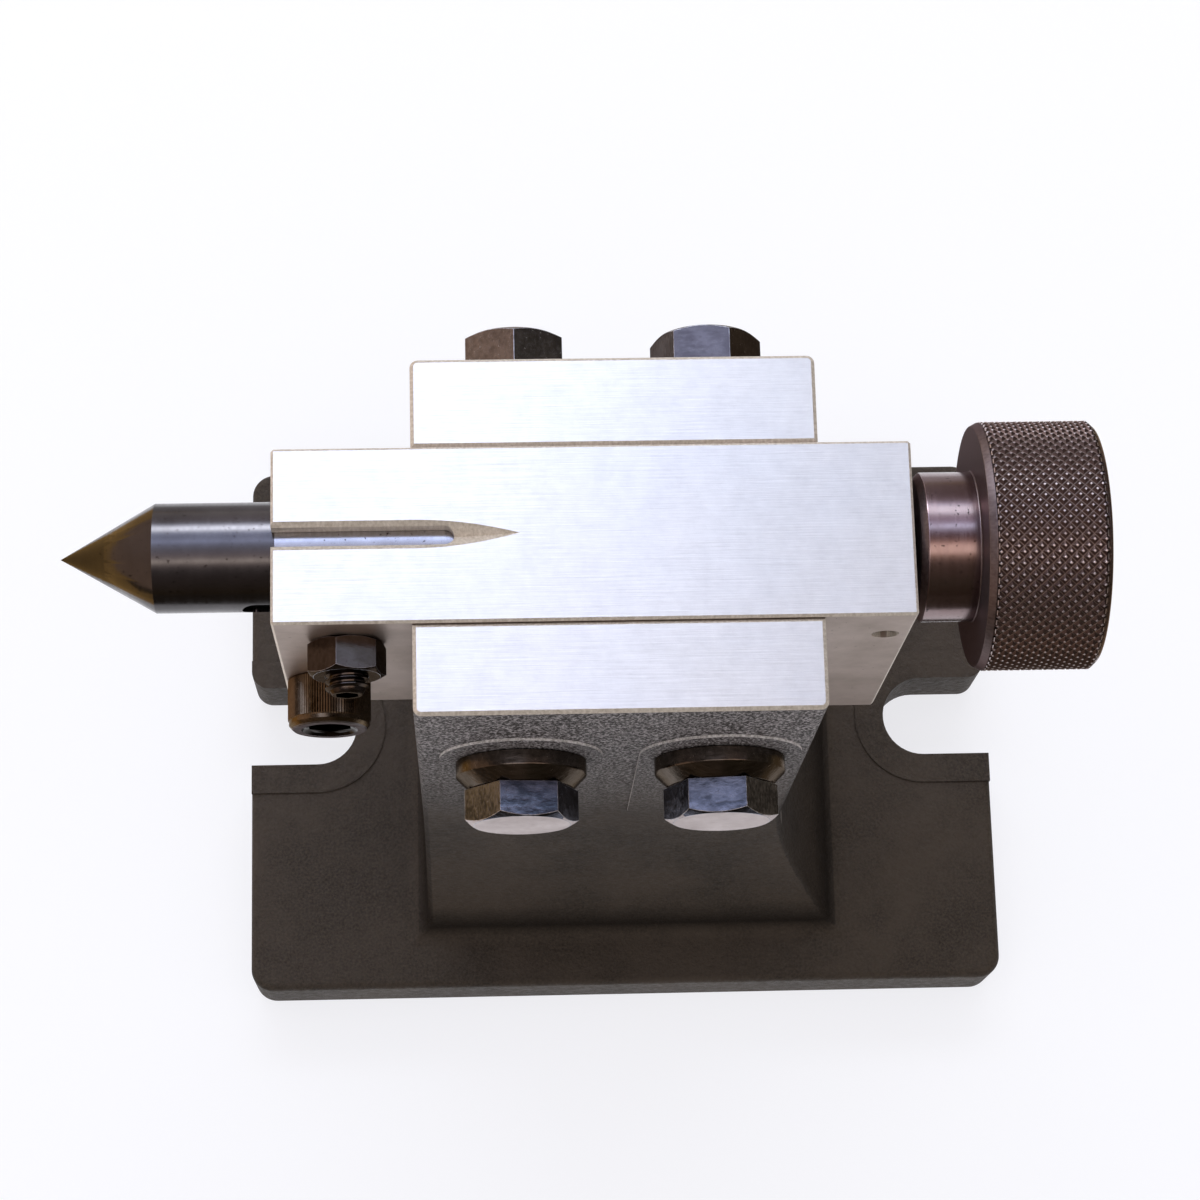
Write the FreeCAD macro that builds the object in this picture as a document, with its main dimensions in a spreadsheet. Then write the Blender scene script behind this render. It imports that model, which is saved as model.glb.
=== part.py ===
import FreeCAD, Part
import math
import os

import Sketcher
from FreeCAD import Placement, Rotation, Vector

# Tailstock with adjustable height and tilt. +X points from the centre point to the knob, +Z is up,
# and the origin is the middle of the base's underside. Sizes are in millimetres.

SIZES = [
    ("base_length", 169.0, "flange along the quill"),
    ("base_width", 121.0, "flange across"),
    ("base_thick", 17.0, "flange thickness"),
    ("base_corner", 5.0, "flange corner radius"),
    ("base_edge", 1.5, "rounded top edge of the flange"),
    ("base_slot_width", 18.0, "hold-down slot for a 16 mm bolt"),
    ("base_slot_depth", 24.0, "hold-down slot, from the end of the flange"),
    ("base_slot_mouth", 4.0, "rounded corner of the slot's mouth, rear side"),
    ("seat_border", 6.5, "raised seat around the hold-down slot"),
    ("seat_height", 0.4, "raised seat around the hold-down slot"),
    ("yoke_left", -44.5, "nose-side face of the yoke"),
    ("yoke_length", 75.0, "cheeks along the quill"),
    ("yoke_top", 174.0, "ground top of the cheeks"),
    ("yoke_floor", 46.0, "bottom of the gap between the cheeks"),
    ("yoke_floor_radius", 4.0, "corners of the gap's bottom"),
    ("cheek_thick", 17.0, "one cheek"),
    ("cheek_corner", 1.5, "rounded outer corners of the cheeks"),
    ("cheek_chamfer", 0.7, "edge of the ground tops"),
    ("flare_top", 80.0, "height where the column starts to spread"),
    ("flare_side", 14.8, "spread to the front and rear"),
    ("flare_end", 16.7, "spread to the knob side"),
    ("foot_fillet", 5.0, "cast fillet between column and flange"),
    ("pad_width", 31.0, "raised pad around a cheek slot"),
    ("pad_height", 0.5, "raised pad around a cheek slot"),
    ("cheek_slot_width", 13.0, "slot for the clamp bolt"),
    ("cheek_slot_low", 84.0, "lower arc centre of a cheek slot"),
    ("cheek_slot_high", 138.5, "upper arc centre of a cheek slot"),
    ("bolt_spacing", 38.0, "from nose bolt to pivot bolt"),
    ("pivot_x", 13.25, "pivot bolt along the quill"),
    ("bolt_height", 135.0, "clamp bolts above the underside, block raised"),
    ("housing_left", -70.0, "nose face of the quill housing"),
    ("housing_length", 117.5, "quill housing"),
    ("housing_width", 33.2, "quill housing"),
    ("housing_top", 174.5, "ground top of the housing"),
    ("housing_depth", 72.4, "housing between the cheeks, top to underside"),
    ("nose_depth", 60.9, "housing at the nose, top to underside"),
    ("nose_length", 32.0, "relieved part of the underside"),
    ("housing_chamfer", 0.5, "broken edges"),
    ("side_gap", 0.1, "between housing and cheek, each side"),
    ("quill_drop", 14.0, "quill axis below the housing's top"),
    ("quill_radius", 10.2, "quill"),
    ("fit_gap", 0.05, "running fit, on the radius"),
    ("quill_reach", 39.6, "point ahead of the nose face, as shown"),
    ("quill_length", 119.6, "point to rear end"),
    ("point_angle", 60.0, "included angle of the point"),
    ("rear_wall", 12.0, "housing wall behind the quill bore"),
    ("keyslot_start", 33.6, "front end of the quill's keyway, from the point"),
    ("keyslot_length", 43.0, "quill's keyway, end to end"),
    ("keyslot_width", 5.2, "quill's keyway"),
    ("keyslot_depth", 2.7, "quill's keyway"),
    ("quill_drill", 5.4, "radius of the quill's drilled bore"),
    ("quill_drill_end", 64.0, "start of the drilled bore, from the point"),
    ("groove_width", 5.4, "square-cut V along the top of the nose"),
    ("groove_length", 26.0, "V at full depth"),
    ("groove_cutter", 70.0, "radius of the V's run-out"),
    ("slit_width", 3.6, "slit through the V's floor into the quill bore"),
    ("slit_length", 33.3, "slit, from the nose face"),
    ("split_width", 2.0, "saw cut under the bore"),
    ("split_length", 30.0, "saw cut, from the nose face"),
    ("clamp_x", -61.4, "clamp screw along the quill"),
    ("clamp_height", 131.5, "clamp screw above the underside"),
    ("key_screw_x", -56.8, "screw that guides the quill"),
    ("retainer_back", 4.6, "retaining screw ahead of the housing's rear face"),
    ("knob_gap", 1.3, "between housing and knob"),
    ("neck_radius", 14.0, "knob's neck"),
    ("neck_length", 11.0, "knob's neck"),
    ("neck_bevel", 1.2, "edge of the neck, housing side"),
    ("knob_radius", 23.3, "knurled rim"),
    ("knob_width", 22.5, "knurled rim"),
    ("rim_lead", 1.4, "plain taper of the rim, housing side, along the axis"),
    ("rim_rise", 0.8, "plain taper of the rim, housing side, on the radius"),
    ("rim_bevel", 0.8, "outer edge of the rim"),
    ("knob_dish", 3.0, "recess in the knob's outer face"),
    ("knob_dish_radius", 14.0, "recess in the knob's outer face"),
    ("knob_dish_taper", 1.0, "recess, narrower at its floor"),
    ("feed_radius", 5.0, "feed screw thread and knob seat"),
    ("feed_length", 55.0, "threaded part ahead of the collar"),
    ("collar_radius", 9.0, "feed screw's thrust collar"),
    ("collar_width", 5.0, "feed screw's thrust collar"),
    ("journal_radius", 6.0, "feed screw in the housing's rear wall"),
    ("journal_groove", 4.0, "groove for the retaining screw, wide"),
    ("journal_groove_depth", 1.8, "groove for the retaining screw, deep"),
    ("thrust_thick", 1.5, "thrust washer"),
    ("thrust_play", 0.3, "thrust washer, around the journal and past the collar"),
    ("nut_bush_radius", 8.0, "feed nut pressed into the quill"),
    ("nut_bush_length", 18.0, "feed nut pressed into the quill"),
    ("nut_flange_radius", 9.2, "feed nut's flange"),
    ("nut_flange_thick", 2.0, "feed nut's flange"),
    ("seat_gap", 0.05, "between a sliding washer and its pad"),
    ("washer_radius", 12.5, "clamp bolt washer"),
    ("washer_thick", 5.5, "clamp bolt washer"),
    ("washer_hole", 6.3, "clamp bolt washer, radius"),
    ("washer_chamfer", 2.6, "clamp bolt washer, outer face"),
    ("bolt_radius", 6.0, "clamp bolt"),
    ("bolt_flats", 19.0, "hexagon of clamp bolt and nut"),
    ("bolt_head", 6.8, "head height"),
    ("bolt_length", 91.0, "under the head"),
    ("bolt_end", 1.0, "bevel of a bolt's or screw's end"),
    ("hexagon_bevel", 30.0, "angle that turns away a hexagon's corners"),
    ("hexagon_land", 0.3, "bevelled face inside the flats"),
    ("nut_height", 10.8, "clamp nut"),
    ("clamp_radius", 5.0, "clamp screw"),
    ("clamp_head_radius", 8.0, "clamp screw's round head"),
    ("clamp_head", 10.0, "clamp screw's head height"),
    ("clamp_head_edge", 0.8, "clamp screw's head, bevel"),
    ("clamp_length", 30.0, "clamp screw under the head"),
    ("clamp_socket", 8.0, "clamp screw's hexagon socket"),
    ("clamp_play", 0.5, "clamp screw in the front half of the nose"),
    ("key_screw_radius", 4.0, "screw that guides the quill"),
    ("key_screw_out", 10.0, "screw end ahead of the housing's face"),
    ("key_screw_edge", 0.7, "bevel of the screw's outer end"),
    ("key_dog_radius", 2.5, "screw's dog point"),
    ("dog_play", 0.3, "between a dog point and the floor of its groove"),
    ("key_socket", 4.0, "screw's hexagon socket"),
    ("lock_nut_flats", 13.0, "lock nut"),
    ("lock_nut_height", 6.5, "lock nut"),
    ("grub_radius", 2.5, "retaining screw and knob screw"),
    ("grub_length", 6.5, "knob screw"),
    ("grub_sink", 1.5, "screw below the surface it is driven into"),
    ("grub_dog_radius", 1.75, "retaining screw's dog point"),
    ("grub_dog_length", 2.0, "retaining screw's dog point"),
    ("grub_socket", 2.5, "small screws' hexagon socket"),
    ("overrun", 5.0, "cuts carried past the material"),
]

# Places and sizes that follow from the ones above.
DERIVED = [
    ("axis_height", "=housing_top - quill_drop"),
    ("groove_depth", "=groove_width / 2"),
    ("yoke_right", "=yoke_left + yoke_length"),
    ("nose_x", "=pivot_x - bolt_spacing"),
    ("yoke_gap", "=housing_width / 2 + side_gap"),
    ("cheek_face", "=yoke_gap + cheek_thick"),
    ("pad_face", "=cheek_face + pad_height"),
    ("foot_half", "=cheek_face + flare_side"),
    ("foot_right", "=yoke_right + flare_end"),
    ("flare_rise", "=flare_top - base_thick"),
    ("flare_side_radius", "=(flare_rise^2 + flare_side^2) / (2 * flare_side)"),
    ("flare_end_radius", "=(flare_rise^2 + flare_end^2) / (2 * flare_end)"),
    ("slot_center", "=base_length / 2 - base_slot_depth + base_slot_width / 2"),
    ("washer_seat", "=pad_face + seat_gap"),
    ("head_seat", "=washer_seat + washer_thick"),
    ("quill_bore", "=quill_radius + fit_gap"),
    ("wall_face", "=housing_left + housing_length - rear_wall"),
    ("rear_face", "=housing_left + housing_length"),
    ("knob_face", "=rear_face + knob_gap"),
    ("knob_end", "=knob_face + neck_length + knob_width"),
    ("retainer_x", "=rear_face - retainer_back"),
    ("cone_length", "=quill_radius / tan(point_angle / 2 * 1deg)"),
    ("quill_rear", "=housing_left - quill_reach + quill_length"),
]

FACING_FRONT = Rotation(Vector(1, 0, 0), 90)
FACING_REAR = Rotation(Vector(1, 0, 0), -90)
FACING_DOWN = Rotation(Vector(1, 0, 0), 180)
UPRIGHT = Rotation()
HALF_ROUND = (None, 1)

# Degrees that each hexagon is turned from lying with a corner along the quill.
NOSE_HEAD_TURN = -7.5
NOSE_NUT_TURN = 30.0
PIVOT_HEAD_TURN = 7.8
PIVOT_NUT_TURN = -8.0
LOCK_NUT_TURN = -17.0

# How far a place may lie from a plane and still count as on it or inside it.
ON_PLANE = 0.01
BESIDE_PLANE = 0.1

doc = FreeCAD.newDocument("tailstock")
sheet = doc.addObject("Spreadsheet::Sheet", "Sizes")
sub_parts = []


def fill_sheet():
    """Write the driving sizes as plain numbers, then the places that follow from them."""
    row = 1
    for name, value, meaning in SIZES:
        sheet.set("A%d" % row, meaning)
        sheet.set("B%d" % row, str(value))
        sheet.setAlias("B%d" % row, name)
        row += 1
    for name, formula in DERIVED:
        sheet.set("A%d" % row, name)
        sheet.set("B%d" % row, formula)
        sheet.setAlias("B%d" % row, name)
        row += 1
    doc.recompute()


def with_sheet(formula):
    """Write the sheet's name before each alias in a formula."""
    words = []
    word = ""
    for letter in str(formula) + " ":
        if letter.isalnum() or letter in "_.":
            word += letter
        else:
            words.append("Sizes." + word if word in ALIASES else word)
            words.append(letter)
            word = ""
    return "".join(words).strip()


ALIASES = {entry[0] for entry in SIZES} | {entry[0] for entry in DERIVED}


def value_of(formula):
    """Number that a formula gives."""
    return float(sheet.evalExpression(with_sheet(formula)))


def bind(item, path, formula):
    """Tie a property to a formula over the sheet's cells."""
    item.setExpression(path, with_sheet(formula))


def new_body(name, place=("0", "0", "0"), rotation=UPRIGHT):
    """Sub-part with its own label and place."""
    body = doc.addObject("PartDesign::Body", name)
    body.Label = name
    body.Placement = Placement(Vector(*[value_of(formula) for formula in place]), rotation)
    for axis, formula in zip("xyz", place):
        bind(body, "Placement.Base." + axis, formula)
    sub_parts.append(body)
    return body


def plane_of(body, role):
    return [item for item in body.Origin.OriginFeatures if item.Role == role][0]


def new_sketch(body, name, role, offset=None):
    """Sketch on one of the body's own planes, moved along the plane's normal by a formula."""
    sketch = body.newObject("Sketcher::SketchObject", name)
    sketch.AttachmentSupport = [(plane_of(body, role), "")]
    sketch.MapMode = "FlatFace"
    if offset:
        bind(sketch, "AttachmentOffset.Base.z", offset)
    return sketch


def fix(sketch, kind, arguments, formula):
    """Dimension whose value is a formula."""
    number = sketch.addConstraint(Sketcher.Constraint(kind, *arguments, value_of(formula)))
    bind(sketch, "Constraints[%d]" % number, formula)


def arc_through(start, end, radius, side):
    """Arc from start to end; side is 1 when its centre is left of the way from start to end."""
    chord = end - start
    middle = (start + end) / 2
    across = Vector(-chord.y, chord.x, 0).normalize()
    rise = math.sqrt(max(radius * radius - chord.Length * chord.Length / 4, 0))
    center = middle + across * rise * side
    first = math.atan2(start.y - center.y, start.x - center.x)
    last = math.atan2(end.y - center.y, end.x - center.x)
    if side < 0:
        first, last = last, first
    circle = Part.Circle(center, Vector(0, 0, 1), radius)
    return Part.ArcOfCircle(circle, first, last)


def outline(sketch, corners, arcs=None):
    """Closed outline through corners given as pairs of formulas.

    arcs maps the number of an edge to (radius formula, side); the other edges are straight. An arc
    with no radius is a half circle that carries on from the edge before it.
    """
    arcs = arcs or {}
    points = [Vector(value_of(x), value_of(y), 0) for x, y in corners]
    count = len(points)
    for number, corner in enumerate(corners):
        start = points[number]
        end = points[(number + 1) % count]
        if number in arcs:
            radius, side = arcs[number]
            reach = value_of(radius) if radius else (end - start).Length / 2
            edge = sketch.addGeometry(arc_through(start, end, reach, side))
            ends = (1, 2) if side > 0 else (2, 1)
            if radius:
                fix(sketch, "Radius", (edge,), radius)
        else:
            edge = sketch.addGeometry(Part.LineSegment(start, end))
            ends = (1, 2)
        fix(sketch, "DistanceX", (-1, 1, edge, ends[0]), corner[0])
        fix(sketch, "DistanceY", (-1, 1, edge, ends[0]), corner[1])
        if number == 0:
            opening = (edge, ends[0])
        else:
            joint = "Tangent" if number in arcs and not arcs[number][0] else "Coincident"
            sketch.addConstraint(Sketcher.Constraint(joint, *before, edge, ends[0]))
        before = (edge, ends[1])
    sketch.addConstraint(Sketcher.Constraint("Coincident", *before, *opening))


def circle(sketch, x, y, radius):
    edge = sketch.addGeometry(Part.Circle(Vector(value_of(x), value_of(y), 0), Vector(0, 0, 1),
                                          value_of(radius)))
    fix(sketch, "Radius", (edge,), radius)
    fix(sketch, "DistanceX", (-1, 1, edge, 3), x)
    fix(sketch, "DistanceY", (-1, 1, edge, 3), y)


def rectangle(sketch, left, right, low, high):
    outline(sketch, [(left, low), (right, low), (right, high), (left, high)])


def rounded_rectangle(sketch, half_length, half_width, radius):
    """Rectangle about the origin with rounded corners."""
    inner_x = "(%s - %s)" % (half_length, radius)
    inner_y = "(%s - %s)" % (half_width, radius)
    corners = [("-" + inner_x, "-(%s)" % half_width), (inner_x, "-(%s)" % half_width),
               (half_length, "-" + inner_y), (half_length, inner_y),
               (inner_x, half_width), ("-" + inner_x, half_width),
               ("-(%s)" % half_length, inner_y), ("-(%s)" % half_length, "-" + inner_y)]
    outline(sketch, corners, {edge: (radius, 1) for edge in (1, 3, 5, 7)})


def upright_slot(sketch, x, low, high, radius):
    """Obround standing on end, with its arc centres at low and high."""
    left = "%s - %s" % (x, radius)
    right = "%s + %s" % (x, radius)
    corners = [(right, low), (right, high), (left, high), (left, low)]
    outline(sketch, corners, {1: HALF_ROUND, 3: HALF_ROUND})


def level_slot(sketch, left, right, y, radius):
    """Obround lying down, with its arc centres at left and right."""
    low = "%s - %s" % (y, radius)
    high = "%s + %s" % (y, radius)
    corners = [(left, low), (right, low), (right, high), (left, high)]
    outline(sketch, corners, {1: HALF_ROUND, 3: HALF_ROUND})


def hexagon(sketch, flats):
    """Hexagon about the origin with a corner on the first axis."""
    reach = "%s / sqrt(3)" % flats
    half = "%s / sqrt(3) / 2" % flats
    high = "%s / 2" % flats
    corners = [(reach, "0"), (half, high), ("-" + half, high),
               ("-" + reach, "0"), ("-" + half, "-" + high), (half, "-" + high)]
    outline(sketch, corners)


def finish_feature(feature, grows):
    """Recompute and see that the feature added or took away material."""
    body = feature.getParentGeoFeatureGroup()
    base = feature.BaseFeature
    doc.recompute()
    before = base.Shape.Volume if base else 0.0
    change = feature.Shape.Volume - before
    if (change if grows else -change) <= 0:
        raise ValueError("%s of %s changes nothing" % (feature.Name, body.Label))
    return feature


def pad(body, name, sketch, length, both_ways=False, reverse=False):
    feature = body.newObject("PartDesign::Pad", name)
    feature.Profile = sketch
    feature.SideType = "Symmetric" if both_ways else "One side"
    feature.Reversed = reverse
    bind(feature, "Length", length)
    return finish_feature(feature, True)


def pocket(body, name, sketch, length=None, reverse=False):
    """Cut by a sketch: to a length, or through everything both ways."""
    feature = body.newObject("PartDesign::Pocket", name)
    feature.Profile = sketch
    if length:
        bind(feature, "Length", length)
        feature.Reversed = reverse
    else:
        feature.SideType = "Symmetric"
        feature.Type = "ThroughAll"
    return finish_feature(feature, False)


def revolve(body, name, sketch, axis="H_Axis", cut=False):
    feature = body.newObject("PartDesign::Groove" if cut else "PartDesign::Revolution", name)
    feature.Profile = sketch
    feature.ReferenceAxis = (sketch, [axis])
    feature.Angle = 360
    return finish_feature(feature, not cut)


def edge_names(shape, wanted):
    """Names of the edges whose middle and ends pass a test."""
    names = []
    for number, edge in enumerate(shape.Edges, 1):
        middle = edge.valueAt((edge.FirstParameter + edge.LastParameter) / 2)
        points = [middle] + [vertex.Point for vertex in edge.Vertexes]
        if all(wanted(point) for point in points):
            names.append("Edge%d" % number)
    return names


def dress(body, kind, name, size, wanted):
    """Fillet or chamfer the body's edges that pass a test."""
    base = body.Tip
    feature = body.newObject("PartDesign::" + kind, name)
    feature.Base = (base, edge_names(base.Shape, wanted))
    bind(feature, "Radius" if kind == "Fillet" else "Size", size)
    doc.recompute()
    return feature


def near(value, formula):
    return abs(value - value_of(formula)) < ON_PLANE


def base_casting():
    """Flange, flared column and the two slotted cheeks, cast in one."""
    body = new_body("base_casting")
    flange = new_sketch(body, "flange_outline", "XY_Plane")
    rounded_rectangle(flange, "base_length / 2", "base_width / 2", "base_corner")
    pad(body, "flange", flange, "base_thick")
    dress(body, "Fillet", "flange_edges", "base_edge", lambda point: near(point.z, "base_thick"))

    # The column is drawn from the front, and the side view then trims it.
    front = new_sketch(body, "column_front_view", "XZ_Plane")
    outline(front, [("yoke_left", "0"), ("foot_right", "0"), ("foot_right", "base_thick"),
                    ("yoke_right", "flare_top"), ("yoke_right", "yoke_top"),
                    ("yoke_left", "yoke_top")], {2: ("flare_end_radius", -1)})
    pad(body, "column", front, "2 * foot_half", both_ways=True)
    side = new_sketch(body, "column_side_view", "YZ_Plane")
    for sign, turn in (("", 1), ("-", -1)):
        past = sign + "(foot_half + overrun)"
        outline(side, [(sign + "foot_half", "base_thick"), (sign + "cheek_face", "flare_top"),
                       (sign + "cheek_face", "yoke_top + overrun"), (past, "yoke_top + overrun"),
                       (past, "base_thick")], {0: ("flare_side_radius", -turn)})
    pocket(body, "column_sides", side)

    dress(body, "Fillet", "foot_fillets", "foot_fillet", on_foot)
    dress(body, "Fillet", "cheek_corners", "cheek_corner", on_cheek_corner)

    pads = new_sketch(body, "slot_pad_outlines", "XZ_Plane")
    for place in ("nose_x", "pivot_x"):
        upright_slot(pads, place, "cheek_slot_low", "cheek_slot_high", "pad_width / 2")
    pad(body, "slot_pads", pads, "2 * pad_face", both_ways=True)

    seats = new_sketch(body, "hold_down_seat_outlines", "XY_Plane")
    for sign, turn in (("", 1), ("-", -1)):
        radius = "base_slot_width / 2 + seat_border"
        outline(seats, [(sign + "base_length / 2", radius), (sign + "slot_center", radius),
                        (sign + "slot_center", "-(%s)" % radius),
                        (sign + "base_length / 2", "-(%s)" % radius)], {1: (None, turn)})
    pad(body, "hold_down_seats", seats, "base_thick + seat_height")

    gap = new_sketch(body, "yoke_gap_outline", "YZ_Plane")
    outline(gap, [("-yoke_gap", "yoke_top + overrun"), ("-yoke_gap", "yoke_floor + yoke_floor_radius"),
                  ("-yoke_gap + yoke_floor_radius", "yoke_floor"),
                  ("yoke_gap - yoke_floor_radius", "yoke_floor"),
                  ("yoke_gap", "yoke_floor + yoke_floor_radius"), ("yoke_gap", "yoke_top + overrun")],
            {1: ("yoke_floor_radius", 1), 3: ("yoke_floor_radius", 1)})
    pocket(body, "yoke_gap", gap)

    slots = new_sketch(body, "cheek_slot_outlines", "XZ_Plane")
    for place in ("nose_x", "pivot_x"):
        upright_slot(slots, place, "cheek_slot_low", "cheek_slot_high", "cheek_slot_width / 2")
    pocket(body, "cheek_slots", slots)

    hold_downs = new_sketch(body, "hold_down_slot_outlines", "XY_Plane")
    for sign, turn in (("", 1), ("-", -1)):
        half = "base_slot_width / 2"
        mouth = sign + "(base_length / 2 + overrun)"
        outline(hold_downs, [(mouth, half), (sign + "slot_center", half),
                             (sign + "slot_center", "-" + half), (mouth, "-" + half)],
                {1: (None, turn)})
    pocket(body, "hold_down_slots", hold_downs)

    dress(body, "Fillet", "slot_mouths", "base_slot_mouth", on_slot_mouth)
    dress(body, "Chamfer", "cheek_edges", "cheek_chamfer", on_cheek_top)


def on_foot(point):
    """Foot of the column on the front, rear and knob sides and the nose side."""
    inside_x = value_of("yoke_left") - BESIDE_PLANE < point.x < value_of("foot_right") + BESIDE_PLANE
    inside_y = abs(point.y) < value_of("foot_half") + BESIDE_PLANE
    return near(point.z, "base_thick") and inside_x and inside_y


def on_cheek_corner(point):
    """Upright outer corners of the cheeks, above the flare."""
    at_end = near(point.x, "yoke_left") or near(point.x, "yoke_right")
    above = point.z > value_of("flare_top") - BESIDE_PLANE
    return at_end and above and near(abs(point.y), "cheek_face")


def on_slot_mouth(point):
    """Rear corner of each hold-down slot's mouth."""
    return near(abs(point.x), "base_length / 2") and near(point.y, "base_slot_width / 2")


def on_cheek_top(point):
    return near(point.z, "yoke_top")


def quill_housing():
    """Steel block that carries the quill; its local X runs along the quill from the nose face."""
    body = new_body("quill_housing", ("housing_left", "0", "axis_height"))
    view = new_sketch(body, "housing_side_view", "XZ_Plane")
    nose_low = "quill_drop - nose_depth"
    rear_low = "quill_drop - housing_depth"
    outline(view, [("0", nose_low), ("nose_length", nose_low), ("nose_length", rear_low),
                   ("housing_length", rear_low), ("housing_length", "quill_drop"),
                   ("0", "quill_drop")])
    pad(body, "block", view, "housing_width", both_ways=True)
    dress(body, "Chamfer", "block_edges", "housing_chamfer", on_block_end)

    bore = new_sketch(body, "quill_bore_outline", "YZ_Plane")
    circle(bore, "0", "0", "quill_bore")
    pocket(body, "quill_bore", bore, "housing_length - rear_wall", reverse=True)
    journal = new_sketch(body, "journal_bore_outline", "YZ_Plane")
    circle(journal, "0", "0", "journal_radius + fit_gap")
    pocket(body, "journal_bore", journal)

    groove = new_sketch(body, "nose_groove_outline", "YZ_Plane")
    groove_section(groove, "quill_drop - groove_depth")
    pocket(body, "nose_groove", groove, "groove_length", reverse=True)
    run_out = new_sketch(body, "nose_groove_run_out_outline", "YZ_Plane", "groove_length")
    bind(run_out, "AttachmentOffset.Base.y", "quill_drop - groove_depth + groove_cutter")
    groove_section(run_out, "-groove_cutter")
    revolve(body, "nose_groove_run_out", run_out, cut=True)
    slit = new_sketch(body, "nose_slit_outline", "XY_Plane", "quill_drop")
    level_slot(slit, "-overrun", "slit_length - slit_width / 2", "0", "slit_width / 2")
    pocket(body, "nose_slit", slit, "quill_drop")

    split = new_sketch(body, "nose_split_outline", "YZ_Plane")
    rectangle(split, "-split_width / 2", "split_width / 2", nose_low + " - overrun", "0")
    pocket(body, "nose_split", split, "split_length", reverse=True)

    bolts = new_sketch(body, "bolt_hole_outlines", "XZ_Plane")
    for place in ("nose_x", "pivot_x"):
        circle(bolts, place + " - housing_left", "bolt_height - axis_height",
               "bolt_radius + fit_gap")
    pocket(body, "bolt_holes", bolts)

    clamp_x = "clamp_x - housing_left"
    clamp_z = "clamp_height - axis_height"
    thread = new_sketch(body, "clamp_thread_outline", "XZ_Plane")
    circle(thread, clamp_x, clamp_z, "clamp_radius + fit_gap")
    pocket(body, "clamp_thread", thread)
    clearance = new_sketch(body, "clamp_clearance_outline", "XZ_Plane")
    circle(clearance, clamp_x, clamp_z, "clamp_radius + clamp_play")
    pocket(body, "clamp_clearance", clearance, "housing_width / 2 + overrun", reverse=True)

    screws = new_sketch(body, "side_screw_outlines", "XZ_Plane")
    circle(screws, "key_screw_x - housing_left", "0", "key_screw_radius + fit_gap")
    circle(screws, "retainer_x - housing_left", "0", "grub_radius + fit_gap")
    pocket(body, "side_screw_holes", screws, "housing_width / 2 + overrun", reverse=True)


def on_block_end(point):
    """Outer edges of the top and of the two end faces."""
    at_end = near(point.x, "0") or near(point.x, "housing_length")
    return at_end or near(point.z, "quill_drop")


def groove_section(sketch, floor):
    """V with square flanks that are carried past the top face."""
    rise = "(groove_depth + overrun)"
    outline(sketch, [("0", floor), (rise, floor + " + " + rise), ("-" + rise, floor + " + " + rise)])


def quill():
    """Quill with its 60-degree point; local X runs back from the point."""
    body = new_body("quill", ("housing_left - quill_reach", "0", "axis_height"))
    profile = new_sketch(body, "quill_profile", "XZ_Plane")
    outline(profile, [("0", "0"), ("cone_length", "quill_radius"),
                      ("quill_length - bolt_end", "quill_radius"),
                      ("quill_length", "quill_radius - bolt_end"),
                      ("quill_length", "nut_bush_radius"),
                      ("quill_length - nut_bush_length", "nut_bush_radius"),
                      ("quill_length - nut_bush_length", "quill_drill"),
                      ("quill_drill_end", "quill_drill"),
                      ("quill_drill_end - quill_drill / 2", "0")])
    revolve(body, "turned_quill", profile)
    key = new_sketch(body, "keyway_outline", "XZ_Plane", "quill_radius - keyslot_depth")
    level_slot(key, "keyslot_start + keyslot_width / 2",
               "keyslot_start + keyslot_length - keyslot_width / 2", "0", "keyslot_width / 2")
    pocket(body, "keyway", key, "keyslot_depth + overrun", reverse=True)


def feed_nut():
    """Bronze nut pressed into the rear of the quill; local X runs back from its flange seat."""
    body = new_body("feed_nut", ("quill_rear", "0", "axis_height"))
    profile = new_sketch(body, "nut_profile", "XZ_Plane")
    outline(profile, [("-nut_bush_length", "feed_radius + fit_gap"),
                      ("nut_flange_thick", "feed_radius + fit_gap"),
                      ("nut_flange_thick", "nut_flange_radius"), ("0", "nut_flange_radius"),
                      ("0", "nut_bush_radius"), ("-nut_bush_length", "nut_bush_radius")])
    revolve(body, "turned_nut", profile)


def thrust_washer():
    body = new_body("thrust_washer", ("wall_face - thrust_thick", "0", "axis_height"))
    profile = new_sketch(body, "washer_profile", "XZ_Plane")
    rectangle(profile, "0", "thrust_thick", "journal_radius + thrust_play",
              "collar_radius + thrust_play")
    revolve(body, "ring", profile)


def feed_screw():
    """Feed screw with collar, grooved journal and knob seat; local X starts at the collar's face."""
    body = new_body("feed_screw", ("wall_face - thrust_thick", "0", "axis_height"))
    profile = new_sketch(body, "screw_profile", "XZ_Plane")
    groove = "(retainer_x - wall_face + thrust_thick)"
    shoulder = "knob_face - wall_face + thrust_thick"
    tip = "knob_end - knob_dish - wall_face + thrust_thick - bolt_end"
    groove_low = groove + " - journal_groove / 2"
    groove_high = groove + " + journal_groove / 2"
    outline(profile, [("-feed_length - collar_width", "0"),
                      ("-feed_length - collar_width", "feed_radius - bolt_end"),
                      ("-feed_length - collar_width + bolt_end", "feed_radius"),
                      ("-collar_width", "feed_radius"), ("-collar_width", "collar_radius"),
                      ("0", "collar_radius"), ("0", "journal_radius"),
                      (groove_low, "journal_radius"),
                      (groove_low, "journal_radius - journal_groove_depth"),
                      (groove_high, "journal_radius - journal_groove_depth"),
                      (groove_high, "journal_radius"), (shoulder, "journal_radius"),
                      (shoulder, "feed_radius"), (tip, "feed_radius"), (tip, "0")])
    revolve(body, "turned_screw", profile)


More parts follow.
